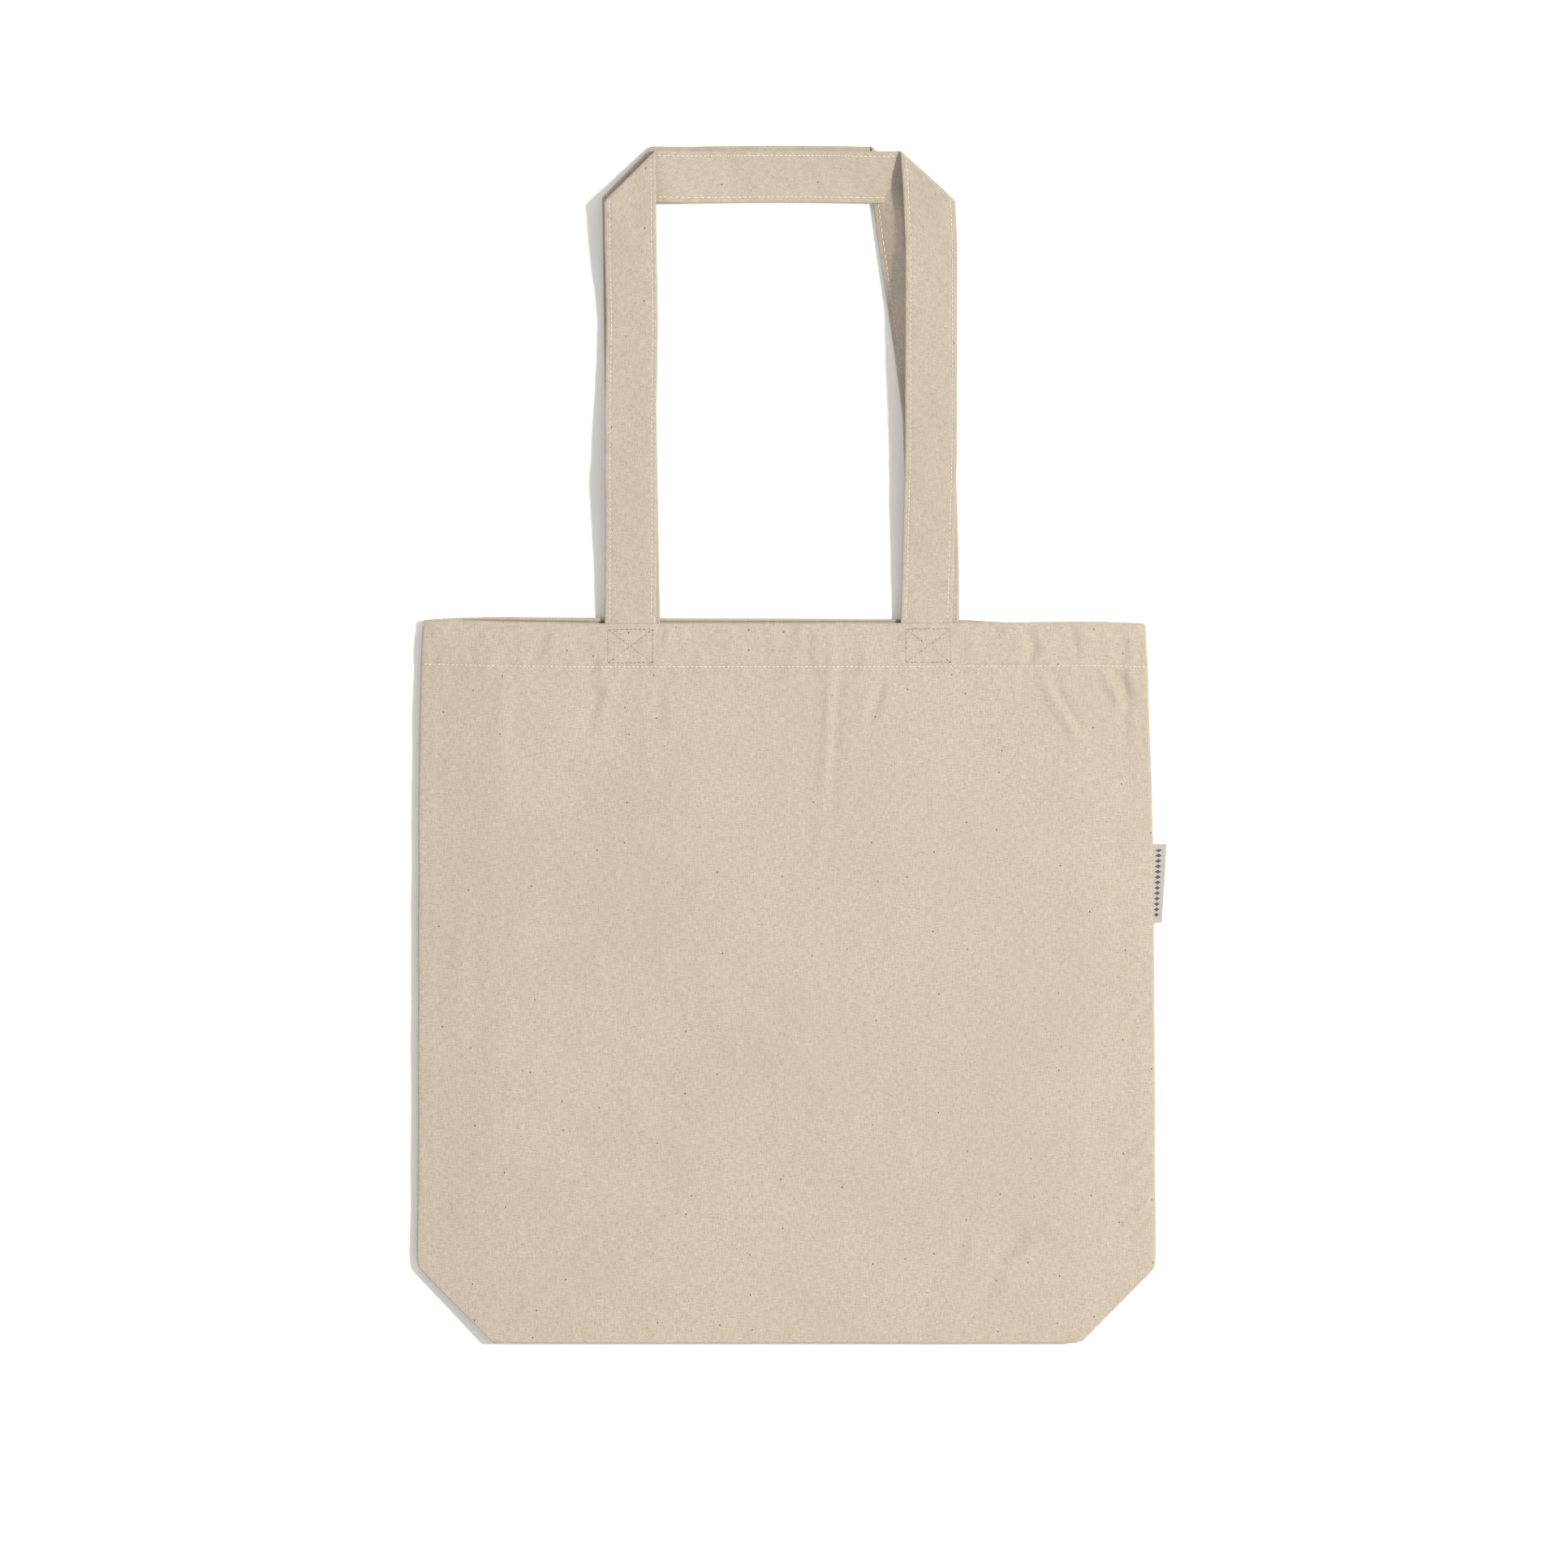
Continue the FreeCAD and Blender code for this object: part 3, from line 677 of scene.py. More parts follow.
def woven_material(name, base, light, dark, seed_colour, yarn, speck_gap, strength):
    """Plain woven undyed cotton: slubby yarns both ways, flecks of fibre, and specks of seed."""
    material, tree, shader = new_material(name)
    cloth = add(tree, "ShaderNodeUVMap", uv_map=UV_NAME)
    warp = noise(tree, scaled(tree, cloth, 1 / yarn, 1 / (yarn * 7)), 1.0, 2.5, 0.6)
    weft = noise(tree, scaled(tree, cloth, 1 / (yarn * 7), 1 / (yarn * 1.05)), 1.0, 2.5, 0.6)
    long_warp = noise(tree, scaled(tree, cloth, 1 / (yarn * 2.0), 1 / (yarn * 40)), 1.0, 1.5, 0.5)
    fleck = noise(tree, cloth, 1.25 / yarn, 2.0, 0.7)
    mottle = noise(tree, scaled(tree, cloth, 150, 60), 1.0, 3.0, 0.55)
    broad = noise(tree, cloth, 11.0, 2.0, 0.5)

    weave_sum = maths(tree, "ADD", warp, weft)
    weave_sum = maths(tree, "ADD", weave_sum, maths(tree, "MULTIPLY", long_warp, 0.20))
    weave_sum = maths(tree, "ADD", weave_sum, maths(tree, "MULTIPLY", fleck, 0.55))
    level = ramp(tree, weave_sum, 1.06, 1.60)
    tone = mix(tree, level, rgba(dark), rgba(light))
    tone = mix(tree, 0.26, tone, rgba(base))
    tone = mix(tree, ramp(tree, mottle, 0.3, 0.72, 0.0, 0.30), tone, tint(base, 1.05, 1.035, 1.0))
    tone = mix(tree, ramp(tree, broad, 0.3, 0.7, 0.0, 0.30), tone, tint(base, 0.88, 0.875, 0.865))

    husk = noise(tree, scaled(tree, cloth, 1 / (yarn * 1.6), 1 / (yarn * 3.2)), 1.0, 1.0)
    tone = mix(tree, ramp(tree, husk, 0.63, 0.72, 0, 0.5), tone, tint(base, 0.97, 0.88, 0.70))

    for spread, limit, size, amount in SPECKS:
        gap = speck_gap * spread
        shaped = scaled(tree, cloth, 1 / gap, 0.72 / gap)
        cells = tree.nodes.new("ShaderNodeTexVoronoi")
        cells.voronoi_dimensions = "2D"
        cells.inputs["Scale"].default_value = 1.0
        tree.links.new(shaped, cells.inputs["Vector"])
        pick = add(tree, "ShaderNodeSeparateColor", cells.outputs["Color"], out=0)
        chosen = maths(tree, "GREATER_THAN", pick, limit)
        width = size * MM / gap
        near = ramp(tree, cells.outputs["Distance"], width * 0.55, width * 1.25, 1.0, 0.0)
        spot = maths(tree, "MULTIPLY", maths(tree, "MULTIPLY", near, chosen), amount)
        tone = mix(tree, spot, tone, rgba(seed_colour))

    shader.inputs["Sheen Weight"].default_value = 0.06
    shader.inputs["Sheen Roughness"].default_value = 0.6

    yarns = scaled(tree, cloth, math.pi / (yarn * 0.95), math.pi / yarn)
    over, under = (add(tree, "ShaderNodeSeparateXYZ", yarns, out=part) for part in (0, 1))
    plain = maths(tree, "MULTIPLY", maths(tree, "SINE", over), maths(tree, "SINE", under))
    height = maths(tree, "ADD", maths(tree, "MULTIPLY", plain, 0.35), weave_sum)
    crumple = noise(tree, scaled(tree, cloth, 520, 340), 1.0, 3.0, 0.6)
    coarse = bump(tree, strength, 0.00035, crumple)
    set_surface(tree, shader, tone, bump(tree, strength, 0.00016, height, coarse), 0.92, 0.18)
    return material


def thread_material(name, base):
    """Twisted spun thread."""
    material, tree, shader = new_material(name)
    place = add(tree, "ShaderNodeTexCoord", out=3)
    twist = noise(tree, scaled(tree, place, 2400, 2400, 2400), 1.0, 2.0)
    tone = mix(tree, ramp(tree, twist, 0.3, 0.7), tint(base, 0.80), tint(base, 1.15))
    set_surface(tree, shader, tone, bump(tree, 0.4, 0.0001, twist), 0.7, 0.3)
    return material


def hole_shade_material(base):
    """Painted shade inside a needle hole: a dark colour stands in for the shadow in the hole."""
    material, tree, shader = new_material("needle_hole")
    place = add(tree, "ShaderNodeTexCoord", out=3)
    grain = noise(tree, scaled(tree, place, 900, 900, 900), 1.0, 2.0)
    set_surface(tree, shader, mix(tree, grain, rgba(base), tint(base, 1.9)), None, 1.0, 0.0)
    return material


def tape_material(base, mark):
    """Fine woven tape with a row of small woven lozenges down its middle."""
    material, tree, shader = new_material("label_tape")
    cloth = add(tree, "ShaderNodeUVMap", uv_map=UV_NAME)
    threads = noise(tree, scaled(tree, cloth, 900, 5200), 1.0, 2.0)
    tone = mix(tree, ramp(tree, threads, 0.3, 0.7), tint(base, 0.90), tint(base, 1.12))
    across = add(tree, "ShaderNodeSeparateXYZ", cloth, out=0)
    along = add(tree, "ShaderNodeSeparateXYZ", cloth, out=1)
    pitch, half_wide, middle = 0.0028, 0.0017, 0.0031
    row_middle, row_half = 0.0205, 0.0178
    from_middle = maths(tree, "ABSOLUTE", maths(tree, "SUBTRACT", across, middle))
    in_cell = maths(tree, "FRACT", maths(tree, "DIVIDE", along, pitch))
    cell = maths(tree, "ABSOLUTE", maths(tree, "SUBTRACT", in_cell, 0.5))
    reach = maths(tree, "ADD", maths(tree, "DIVIDE", from_middle, half_wide),
                  maths(tree, "MULTIPLY", cell, 2.7))
    on_mark = maths(tree, "LESS_THAN", reach, 1.0)
    from_centre = maths(tree, "ABSOLUTE", maths(tree, "SUBTRACT", along, row_middle))
    in_length = maths(tree, "LESS_THAN", from_centre, row_half)
    on_mark = maths(tree, "MULTIPLY", on_mark, in_length)
    tone = mix(tree, maths(tree, "MULTIPLY", on_mark, 0.92), tone, rgba(mark))
    set_surface(tree, shader, tone, bump(tree, 0.4, 0.00008, threads), 0.6, 0.35)
    return material


MATERIALS = {}


def make_materials():
    sizes, colours, _ = settings()
    cotton = (colours.canvas, colours.yarn_light, colours.yarn_dark, colours.seed)
    MATERIALS["canvas"] = woven_material("bag_canvas", *cotton, sizes.slub, sizes.speck_gap, 0.55)
    MATERIALS["strap"] = woven_material("strap_canvas", *cotton, sizes.slub * 0.92,
                                        sizes.speck_gap * 1.1, 0.8)
    MATERIALS["thread"] = thread_material("thread", colours.thread)
    MATERIALS["box_thread"] = thread_material("box_thread", colours.box_thread)
    MATERIALS["overlock"] = thread_material("overlock_thread", colours.thread)
    MATERIALS["hole"] = hole_shade_material(colours.needle_hole_shade)
    MATERIALS["tape"] = tape_material(colours.label, colours.label_mark)


# ---------------------------------------------------------------- cloth panels

def layer_name(layer):
    return "front" if layer > 0 else "back"


def side_name(side):
    return "right" if side > 0 else "left"


ROWS = spaced((BASE_Y + BASE_INSET, -150, 1.9), (-150, -144, 1.0), (-144, 158, 1.9), (158, 162, 1.0),
              (162, 167.4, 0.6), (167.4, 183, 1.5), (183, MOUTH_Y - 1.0, 0.4))
TURN_STEPS = np.radians((20, 42, 66, 90))
BASE_TURNS = np.radians((20, 40, 60))


HALF_WIDTH = 191
SHARES = spaced((0, 146, 1.95), (146, 159, 1.0), (159, 180, 1.75), (180, HALF_WIDTH, 1.1)) / HALF_WIDTH


def cloth_grid(layer, side):
    """Outer face points and flat cloth places of one half, from the middle line to its side edge."""
    ends, faces_to = row_end(side, ROWS)
    radius_end = np.where(ROWS > BASE_SEAM_Y, 1.6, 0.85)
    flat_end = np.stack([ends, ROWS], -1) - faces_to * radius_end[:, None]
    x = SHARES[None, :] * flat_end[:, None, 0]
    y = ROWS[:, None] + (flat_end[:, None, 1] - ROWS[:, None]) * SHARES[None, :] ** 10
    columns = len(SHARES)
    side_turn = np.concatenate([np.zeros(columns), TURN_STEPS])
    base_turn = np.concatenate([BASE_TURNS[::-1], np.zeros(len(ROWS)), -TURN_STEPS])
    rows_above, rows_below = len(TURN_STEPS), len(BASE_TURNS)
    x = np.pad(x, ((rows_below, rows_above), (0, len(TURN_STEPS))), "edge")
    y = np.pad(y, ((rows_below, rows_above), (0, len(TURN_STEPS))), "edge")
    facing = np.pad(faces_to, ((rows_below, rows_above), (0, 0)), "edge")
    radius = np.pad(radius_end, (rows_below, rows_above), "edge")
    turn = side_turn[None, :, None] * facing[:, None, :] + base_turn[:, None, None] * np.array([0.0, -1.0])
    at_end = smooth(base_turn[:, None] ** 2, 0, 0.1)
    bend_radius = radius[:, None] * (1 - at_end) + at_end * np.where(base_turn > 0, 0.8, 1.0)[:, None]
    angle = np.linalg.norm(turn, axis=-1)
    bent = np.minimum(angle, QUARTER)
    direction = turn / np.maximum(angle, TINY)[..., None]
    px = x + direction[..., 0] * bend_radius * np.sin(bent)
    py = y + direction[..., 1] * bend_radius * np.sin(bent)
    drop = bend_radius * (1 - np.cos(bent))
    place = cloth_point(layer, side * x, y)
    place[..., 0] = side * px
    place[..., 1] += py - y
    place[..., 2] -= layer * drop
    flat = np.stack([side * (px + 0.57 * drop), py + 0.57 * drop * np.sign(direction[..., 1])], -1)
    return place, flat


def fold_blend(thing):
    """Moves the object's placement into its mesh points."""
    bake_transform(thing)


# Side edges whose last cloth is cut off as a strip of its own. The left front edge stays in one piece.
TURNED_EDGES = ((1, 1), (-1, 1), (-1, -1))
EDGE_SHARE = 174 / HALF_WIDTH
EDGE_FROM_Y = -118.0


def edge_blend(thing, side):
    """Moves the placement of a strip beside a side seam into its mesh points. The mouth place and drop that
    it works out are not used.
    """
    mouth_x = float(edge_x(side, MOUTH_Y)) - 0.3
    drop = float(edge_x(side, EDGE_FROM_Y)) - mouth_x
    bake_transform(thing)


def make_panel(layer):
    for side in (-1, 1):
        place, flat = cloth_grid(layer, side)
        name = f"{layer_name(layer)}_cloth_{side_name(side)}"
        turned = (layer, side) in TURNED_EDGES
        first_row = int(np.searchsorted(ROWS, EDGE_FROM_Y)) + len(BASE_TURNS)
        first_column = int(np.searchsorted(SHARES, EDGE_SHARE))
        keep = np.ones((place.shape[0] - 1, place.shape[1] - 1), bool)
        if turned:
            keep[first_row:, first_column:] = False
            strip = cloth_sheet(f"{name}_edge", place[first_row:, first_column:], CLOTH,
                                 flat[first_row:, first_column:], side * layer < 0)
            edge_blend(strip, side)
        thing = cloth_sheet(name, place, CLOTH, flat, side * layer < 0, keep)
        fold_blend(thing)
        if side < 0:
            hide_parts(f"{layer_name(layer)}_panel")
        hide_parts(f"{side_name(side)}_{layer_name(layer)}_side")


# ---------------------------------------------------------------- hems

HEM_SIDE_GAP = 8.2
STITCH_DEPTH = {1: -0.02, -1: 0.24}


def hem_grid(layer, side):
    rows = spaced((HEM_EDGE_Y, HEM_EDGE_Y + 5, 0.8), (HEM_EDGE_Y + 5, 183, 1.5), (183, MOUTH_Y - 1.0, 0.35))
    turns = np.radians((28, 56, 84))
    share = spaced((0, 146, 2.4), (146, 159, 1.2), (159, 183, 2.2)) / 183
    limit = edge_x(side, rows) - HEM_SIDE_GAP
    x = share[None, :] * limit[:, None]
    y = np.repeat(rows[:, None], len(share), 1)
    x, y = (np.pad(v, ((0, len(turns)), (0, 0)), "edge") for v in (x, y))
    turn = np.concatenate([np.zeros(len(rows)), turns])[:, None]
    place = cloth_point(layer, side * x, y, CLOTH + HEM_THICK)
    place[..., 1] += 1.0 * np.sin(turn)
    place[..., 2] += layer * (1 - np.cos(turn))
    flat = np.stack([side * x, 2 * MOUTH_Y - place[..., 1]], -1)
    thick = np.where(turn > 0, 0.86, HEM_THICK - 0.06) * np.ones_like(x)
    return place, flat, thick


def make_hem(layer):
    for side in (-1, 1):
        place, flat, thick = hem_grid(layer, side)
        name = f"{layer_name(layer)}_hem_{side_name(side)}"
        thing = cloth_sheet(name, place, thick, flat, side * layer > 0)
        fold_blend(thing)
        if side < 0:
            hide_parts(f"{layer_name(layer)}_hem")
        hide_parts(f"{side_name(side)}_{layer_name(layer)}_hem")


def make_hem_stitching(layer):
    sizes = settings()[0]
    for side in (-1, 1):
        limit = float(edge_x(side, HEM_STITCH_Y)) - 1.2

        def outer(s, drift):
            return cloth_point(layer, side * s, HEM_STITCH_Y + drift * 1.5, STITCH_DEPTH[layer])

        def inner(s, drift):
            return cloth_point(layer, side * s, HEM_STITCH_Y + drift * 1.5, CLOTH + HEM_THICK + 0.02)

        def up(sign):
            return lambda s: np.tile([0.0, 0.0, sign * layer], (len(s), 1))

        turned = (layer, side) in TURNED_EDGES
        cut = limit - 7 if turned else limit
        runs = [run_along(outer, up(1), 0.4, cut, STITCH_PITCH * 0.98, 0.66, 3 + side),
                run_along(inner, up(-1), 0.4, limit - 8, STITCH_PITCH, 0.70, 6 + side)]
        thing = stitches(f"{layer_name(layer)}_hem_stitches_{side_name(side)}", runs,
                         sizes.thread / MM / 2, MATERIALS["thread"])
        fold_blend(thing)
        if turned:
            last = stitches(f"{layer_name(layer)}_hem_stitches_{side_name(side)}_edge",
                            [run_along(outer, up(1), cut, limit, STITCH_PITCH * 0.98, 0.66, 12 + side)],
                            sizes.thread / MM / 2, MATERIALS["thread"])
            edge_blend(last, side)
        if side < 0:
            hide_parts(f"{layer_name(layer)}_hem_stitching")
        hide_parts(f"{side_name(side)}_{layer_name(layer)}_hem_stitching")


# ---------------------------------------------------------------- crossed boxes of stitching

def box_path():
    """Corners of the sewn path: round the box, then along both diagonals."""
    x, y = 11.6, 8.7
    return (((-x, y), (x, y)), ((x, y), (x, -y)), ((x, -y), (-x, -y)), ((-x, -y), (-x, y)),
            ((-x, y), (x, -y)), ((-x, -y), (x, y)))


def make_box_stitching(layer):
    sizes = settings()[0]
    radius = sizes.thread / MM / 2
    for side, middle in ((-1, (STRAP_LOW[0] + STRAP_HIGH[0]) / 2),
                         (1, (STRAP_RIGHT_LOW[0] + STRAP_RIGHT_HIGH[0]) / 2)):
        runs, holes = [], []
        rng = np.random.default_rng(50 + side)
        for number, ((ax, ay), (bx, by)) in enumerate(box_path()):
            length = math.hypot(bx - ax, by - ay)
            ux, uy = (bx - ax) / length, (by - ay) / length

            def place(s, drift, depth=STITCH_DEPTH[layer]):
                return cloth_point(layer, middle + ax + ux * s - uy * drift * 4,
                                   BOX_CENTRE_Y + ay + uy * s + ux * drift * 4, depth)

            def inside(s, drift):
                return place(s, drift, CLOTH + HEM_THICK + STRAP_THICK + 0.02)

            runs.append(run_along(place, lambda s: np.tile([0.0, 0.0, float(layer)], (len(s), 1)),
                                  0.6, length - 0.3, STITCH_PITCH * 0.95, 0.62, number))
            runs.append(run_along(inside, lambda s: np.tile([0.0, 0.0, -float(layer)], (len(s), 1)),
                                  0.6, length - 0.3, STITCH_PITCH * 0.95, 0.7, number + 9))
            count = max(2, round((length - 0.9) / (STITCH_PITCH * 0.95)))
            for s in np.linspace(0.6, length - 0.3, count + 1):
                wobble = rng.normal(0, 0.10, 2)
                spot = place(np.array([s + wobble[0]]), np.array([wobble[1] / 4]), -0.03)[0]
                holes.append((spot, rng.uniform(0.28, 0.44)))
        stray = cloth_point(layer, np.array([middle + 12.2]), np.array([160.3]), -0.03)[0]
        holes.append((stray, 0.42))
        name = f"{layer_name(layer)}_box_stitches_{side_name(side)}"
        thing = stitches(name, runs, radius * 0.92, MATERIALS["box_thread"])
        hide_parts(f"{layer_name(layer)}_box_stitching_{side_name(side)}")
        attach(thing, layer_name(layer))
        # Small dimples at the needle holes, coloured with painted shade.
        points, faces = join([hole_mesh(spot, size, layer) for spot, size in holes])
        hole_shade_object = build(name.replace("stitches", "needle_holes"), points, faces, points[:, :2],
                             MATERIALS["hole"])
        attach(hole_shade_object, layer_name(layer))


def hole_mesh(spot, size, layer):
    """A small dimple, sunk in the cloth with only its face showing, coloured with painted shade for the
    hole.
    """
    sides = 7
    angles = 2 * math.pi * np.arange(sides) / sides * layer
    ring = np.stack([np.cos(angles) * size, np.sin(angles) * size * 0.8, np.zeros(sides)], -1)
    top = spot + ring
    bottom = spot + ring * 0.6 + np.array([0, 0, -0.5 * layer])
    points = np.concatenate([top, bottom])
    faces = [tuple(range(sides)), tuple(range(2 * sides - 1, sides - 1, -1))]
    for k in range(sides):
        after = (k + 1) % sides
        faces.append((k, k + sides, after + sides, after))
    return points, faces


# ---------------------------------------------------------------- base, corners and seams

HOOK_TURNS = np.radians((45, 70, 95, 120, 145, 170))


def hook_blend(thing):
    """Moves the placement of a piece folded round a tight crease into its mesh points."""
    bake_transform(thing)


def make_base():
    for layer in (1, -1):
        name = layer_name(layer)
        columns = spaced((-151.8, 151.8, 3.0))
        crease_y = BASE_Y + BASE_INSET
        rows = spaced((crease_y + 0.8, BASE_SEAM_Y - 0.15, 1.9))
        axis_z = HALF_HEIGHT - CLOTH
        place = []
        for turn in HOOK_TURNS:
            y = crease_y - (HOOK - 0.03) * math.sin(turn)
            place.append([(y, axis_z + (HOOK - 0.03) * math.cos(turn))])
        for y in rows:
            place.append([(y, axis_z - HOOK - 0.02 - (y - BASE_Y) * FOLD_SLOPE)])
        profile = np.array(place).reshape(-1, 2)
        grid = np.empty((len(profile), len(columns), 3))
        grid[..., 0] = columns[None, :]
        grid[..., 1] = profile[:, 0:1]
        waves = ripple(columns[None, :], profile[:, 0:1], 61 + layer, 18, 60, 0.05)
        y = profile[:, 0:1]
        fade = smooth(y, BASE_Y, BASE_Y + 8) * (1 - smooth(y, BASE_SEAM_Y - 8, BASE_SEAM_Y))
        grid[..., 2] = MIDDLE_Z + layer * np.maximum(profile[:, 1:2] + waves * fade + fade * 0.05, 0.03)
        flat = grid[..., :2].copy()
        flat[..., 1] = 2 * BASE_Y - flat[..., 1]
        thing = cloth_sheet(f"base_{name}_cloth", grid, CLOTH - 0.04, flat, layer > 0)
        hook_blend(thing)
        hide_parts(f"base_{name}")


def make_corners():
    for layer in (1, -1):
        for side in (1, -1):
            body = f"{side_name(side)}_{layer_name(layer)}"
            lean = math.atan(FOLD_SLOPE)
            normal = np.array([side * math.sin(lean), 0, layer * math.cos(lean)])
            low_end = np.array([side * CREASE_X, BASE_Y, MIDDLE_Z + layer * (HALF_HEIGHT - CLOTH)])
            along_x = np.array([side * math.cos(lean), 0, -layer * math.sin(lean)])
            up_y = np.array([0.0, 1.0, 0.0])
            high_end = low_end + along_x * (SEAM_X - CREASE_X) + up_y * (BASE_SEAM_Y - BASE_Y)
            inward = unit(up_y - along_x)
            steps = spaced((0.05, 0.95, 0.02))
            tall = np.linalg.norm(high_end - low_end) / 2
            ends = 1.1 * (np.exp(-((steps - 0.05) * tall / 2.2) ** 2)
                          + np.exp(-((0.95 - steps) * tall / 2.2) ** 2))
            inset = CORNER_INSET[side] + ends
            spine = low_end[None] + (high_end - low_end)[None] * steps[:, None] + inward * inset[:, None]
            width = np.maximum(tall * (1 - np.abs(2 * steps - 1)) - 0.3 - 2 * inset, 0.4)
            rows = []
            for turn in HOOK_TURNS:
                rows.append(spine - inward * (HOOK - 0.03) * math.sin(turn)
                            + normal * (HOOK - 0.03) * math.cos(turn))
            for part in np.linspace(0.03, 1, 15):
                rows.append(spine + inward * (width * part)[:, None] - normal * (HOOK + 0.02))
            grid = np.array(rows)
            flat = grid[..., :2].copy()
            thing = cloth_sheet(f"{body}_corner_cloth", grid, CLOTH - 0.06, flat, side * layer > 0)
            hook_blend(thing)
            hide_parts(f"{body}_corner")


SEAMS = (("left_seam", -1), ("right_seam", 1), ("base_seam", 0))


def seam_frame(side):
    """Start, end and a function from (along, in from the edge) to x and y of one seam."""
    if side:
        start, end = BASE_SEAM_Y + 1.5, MOUTH_Y - 3.0
        return start, end, lambda s, d: (side * (edge_x(side, s) - d), s + 0 * d)
    return -151.5, 151.5, lambda s, d: (s + 0 * d, BASE_SEAM_Y + d + 0 * s)


def make_seams():
    sizes = settings()[0]
    radius = sizes.thread / MM / 2
    for body, side in SEAMS:
        start, end, place = seam_frame(side)
        along = spaced((start, end, 3.2))
        inner = 8.9
        depth = spaced((1.0 if side else 0.25, inner, 0.95))
        parts, uvs, rings, shift = [], [], [], 0
        s, d = np.meshgrid(along, depth, indexing="ij")
        x, y = place(s, d)
        for layer in (1, -1):
            wave = 0.10 * np.abs(ripple(s, d * 0.3, 71 + layer, 12, 40, 0.8)) * smooth(d, 1.5, inner)
            grid = np.stack([x, y, MIDDLE_Z + layer * (CLOTH - 0.02 + wave)], -1)
            turned = np.cross(grid[0, 1] - grid[0, 0], grid[1, 0] - grid[0, 0])[2] * layer < 0
            points, faces, source, ring = shell(grid, CLOTH - 0.06, turned)
            parts.append((points, faces))
            uvs.append(np.stack([s, d], -1).reshape(-1, 2)[source])
            rings.append(ring + shift)
            shift += len(points)
        points, faces = join(parts)
        thing = build(f"{body}_allowance_cloth", points, faces, np.concatenate(uvs), MATERIALS["canvas"])
        sharpen(thing.data, np.concatenate(rings))
        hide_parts(f"{body}_allowance")
        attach(thing, body)

        count = int((end - start) / 2.6)
        turns = np.linspace(0, count * 2 * math.pi, count * 9)
        s = start + 1 + (end - start - 2) * turns / turns[-1]
        d = inner - 0.7 + 1.05 * np.cos(turns)
        x, y = place(s + 0.5 * np.sin(turns), d)
        path = np.stack([x, y, MIDDLE_Z + 0.98 * np.sin(turns)], -1)
        points, faces = tube_mesh(path, radius * 0.62)
        overlock = build(f"{body}_overlock_thread", points, faces, points[:, :2], MATERIALS["overlock"])
        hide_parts(f"{body}_overlock")
        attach(overlock, body)

        runs = []
        for layer in (1, -1):
            def row(t, drift, layer=layer):
                px, py = place(t, 1.6 + drift)
                return np.stack([px, py, np.full(np.shape(px), MIDDLE_Z + layer * (CLOTH + 0.05))], -1)

            runs.append(run_along(row, lambda t, layer=layer: np.tile([0.0, 0.0, float(layer)], (len(t), 1)),
                                  start + 1, end - 1, STITCH_PITCH, 0.74, 80 + layer))
        sewn = stitches(f"{body}_stitches", runs, radius * 0.9, MATERIALS["thread"])
        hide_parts(f"{body}_stitching")
        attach(sewn, body)


# ---------------------------------------------------------------- handles

# Places up the leaning back leg, and how far it tilts about its outer edge there.
BACK_LEG_TILT = ((270, 300, 330, 350, 398, 412, 422), (0, 0.3, 0.6, 0.8, 0.82, 0.3, 0))
BACK_STRAP_LOWEST = -0.3


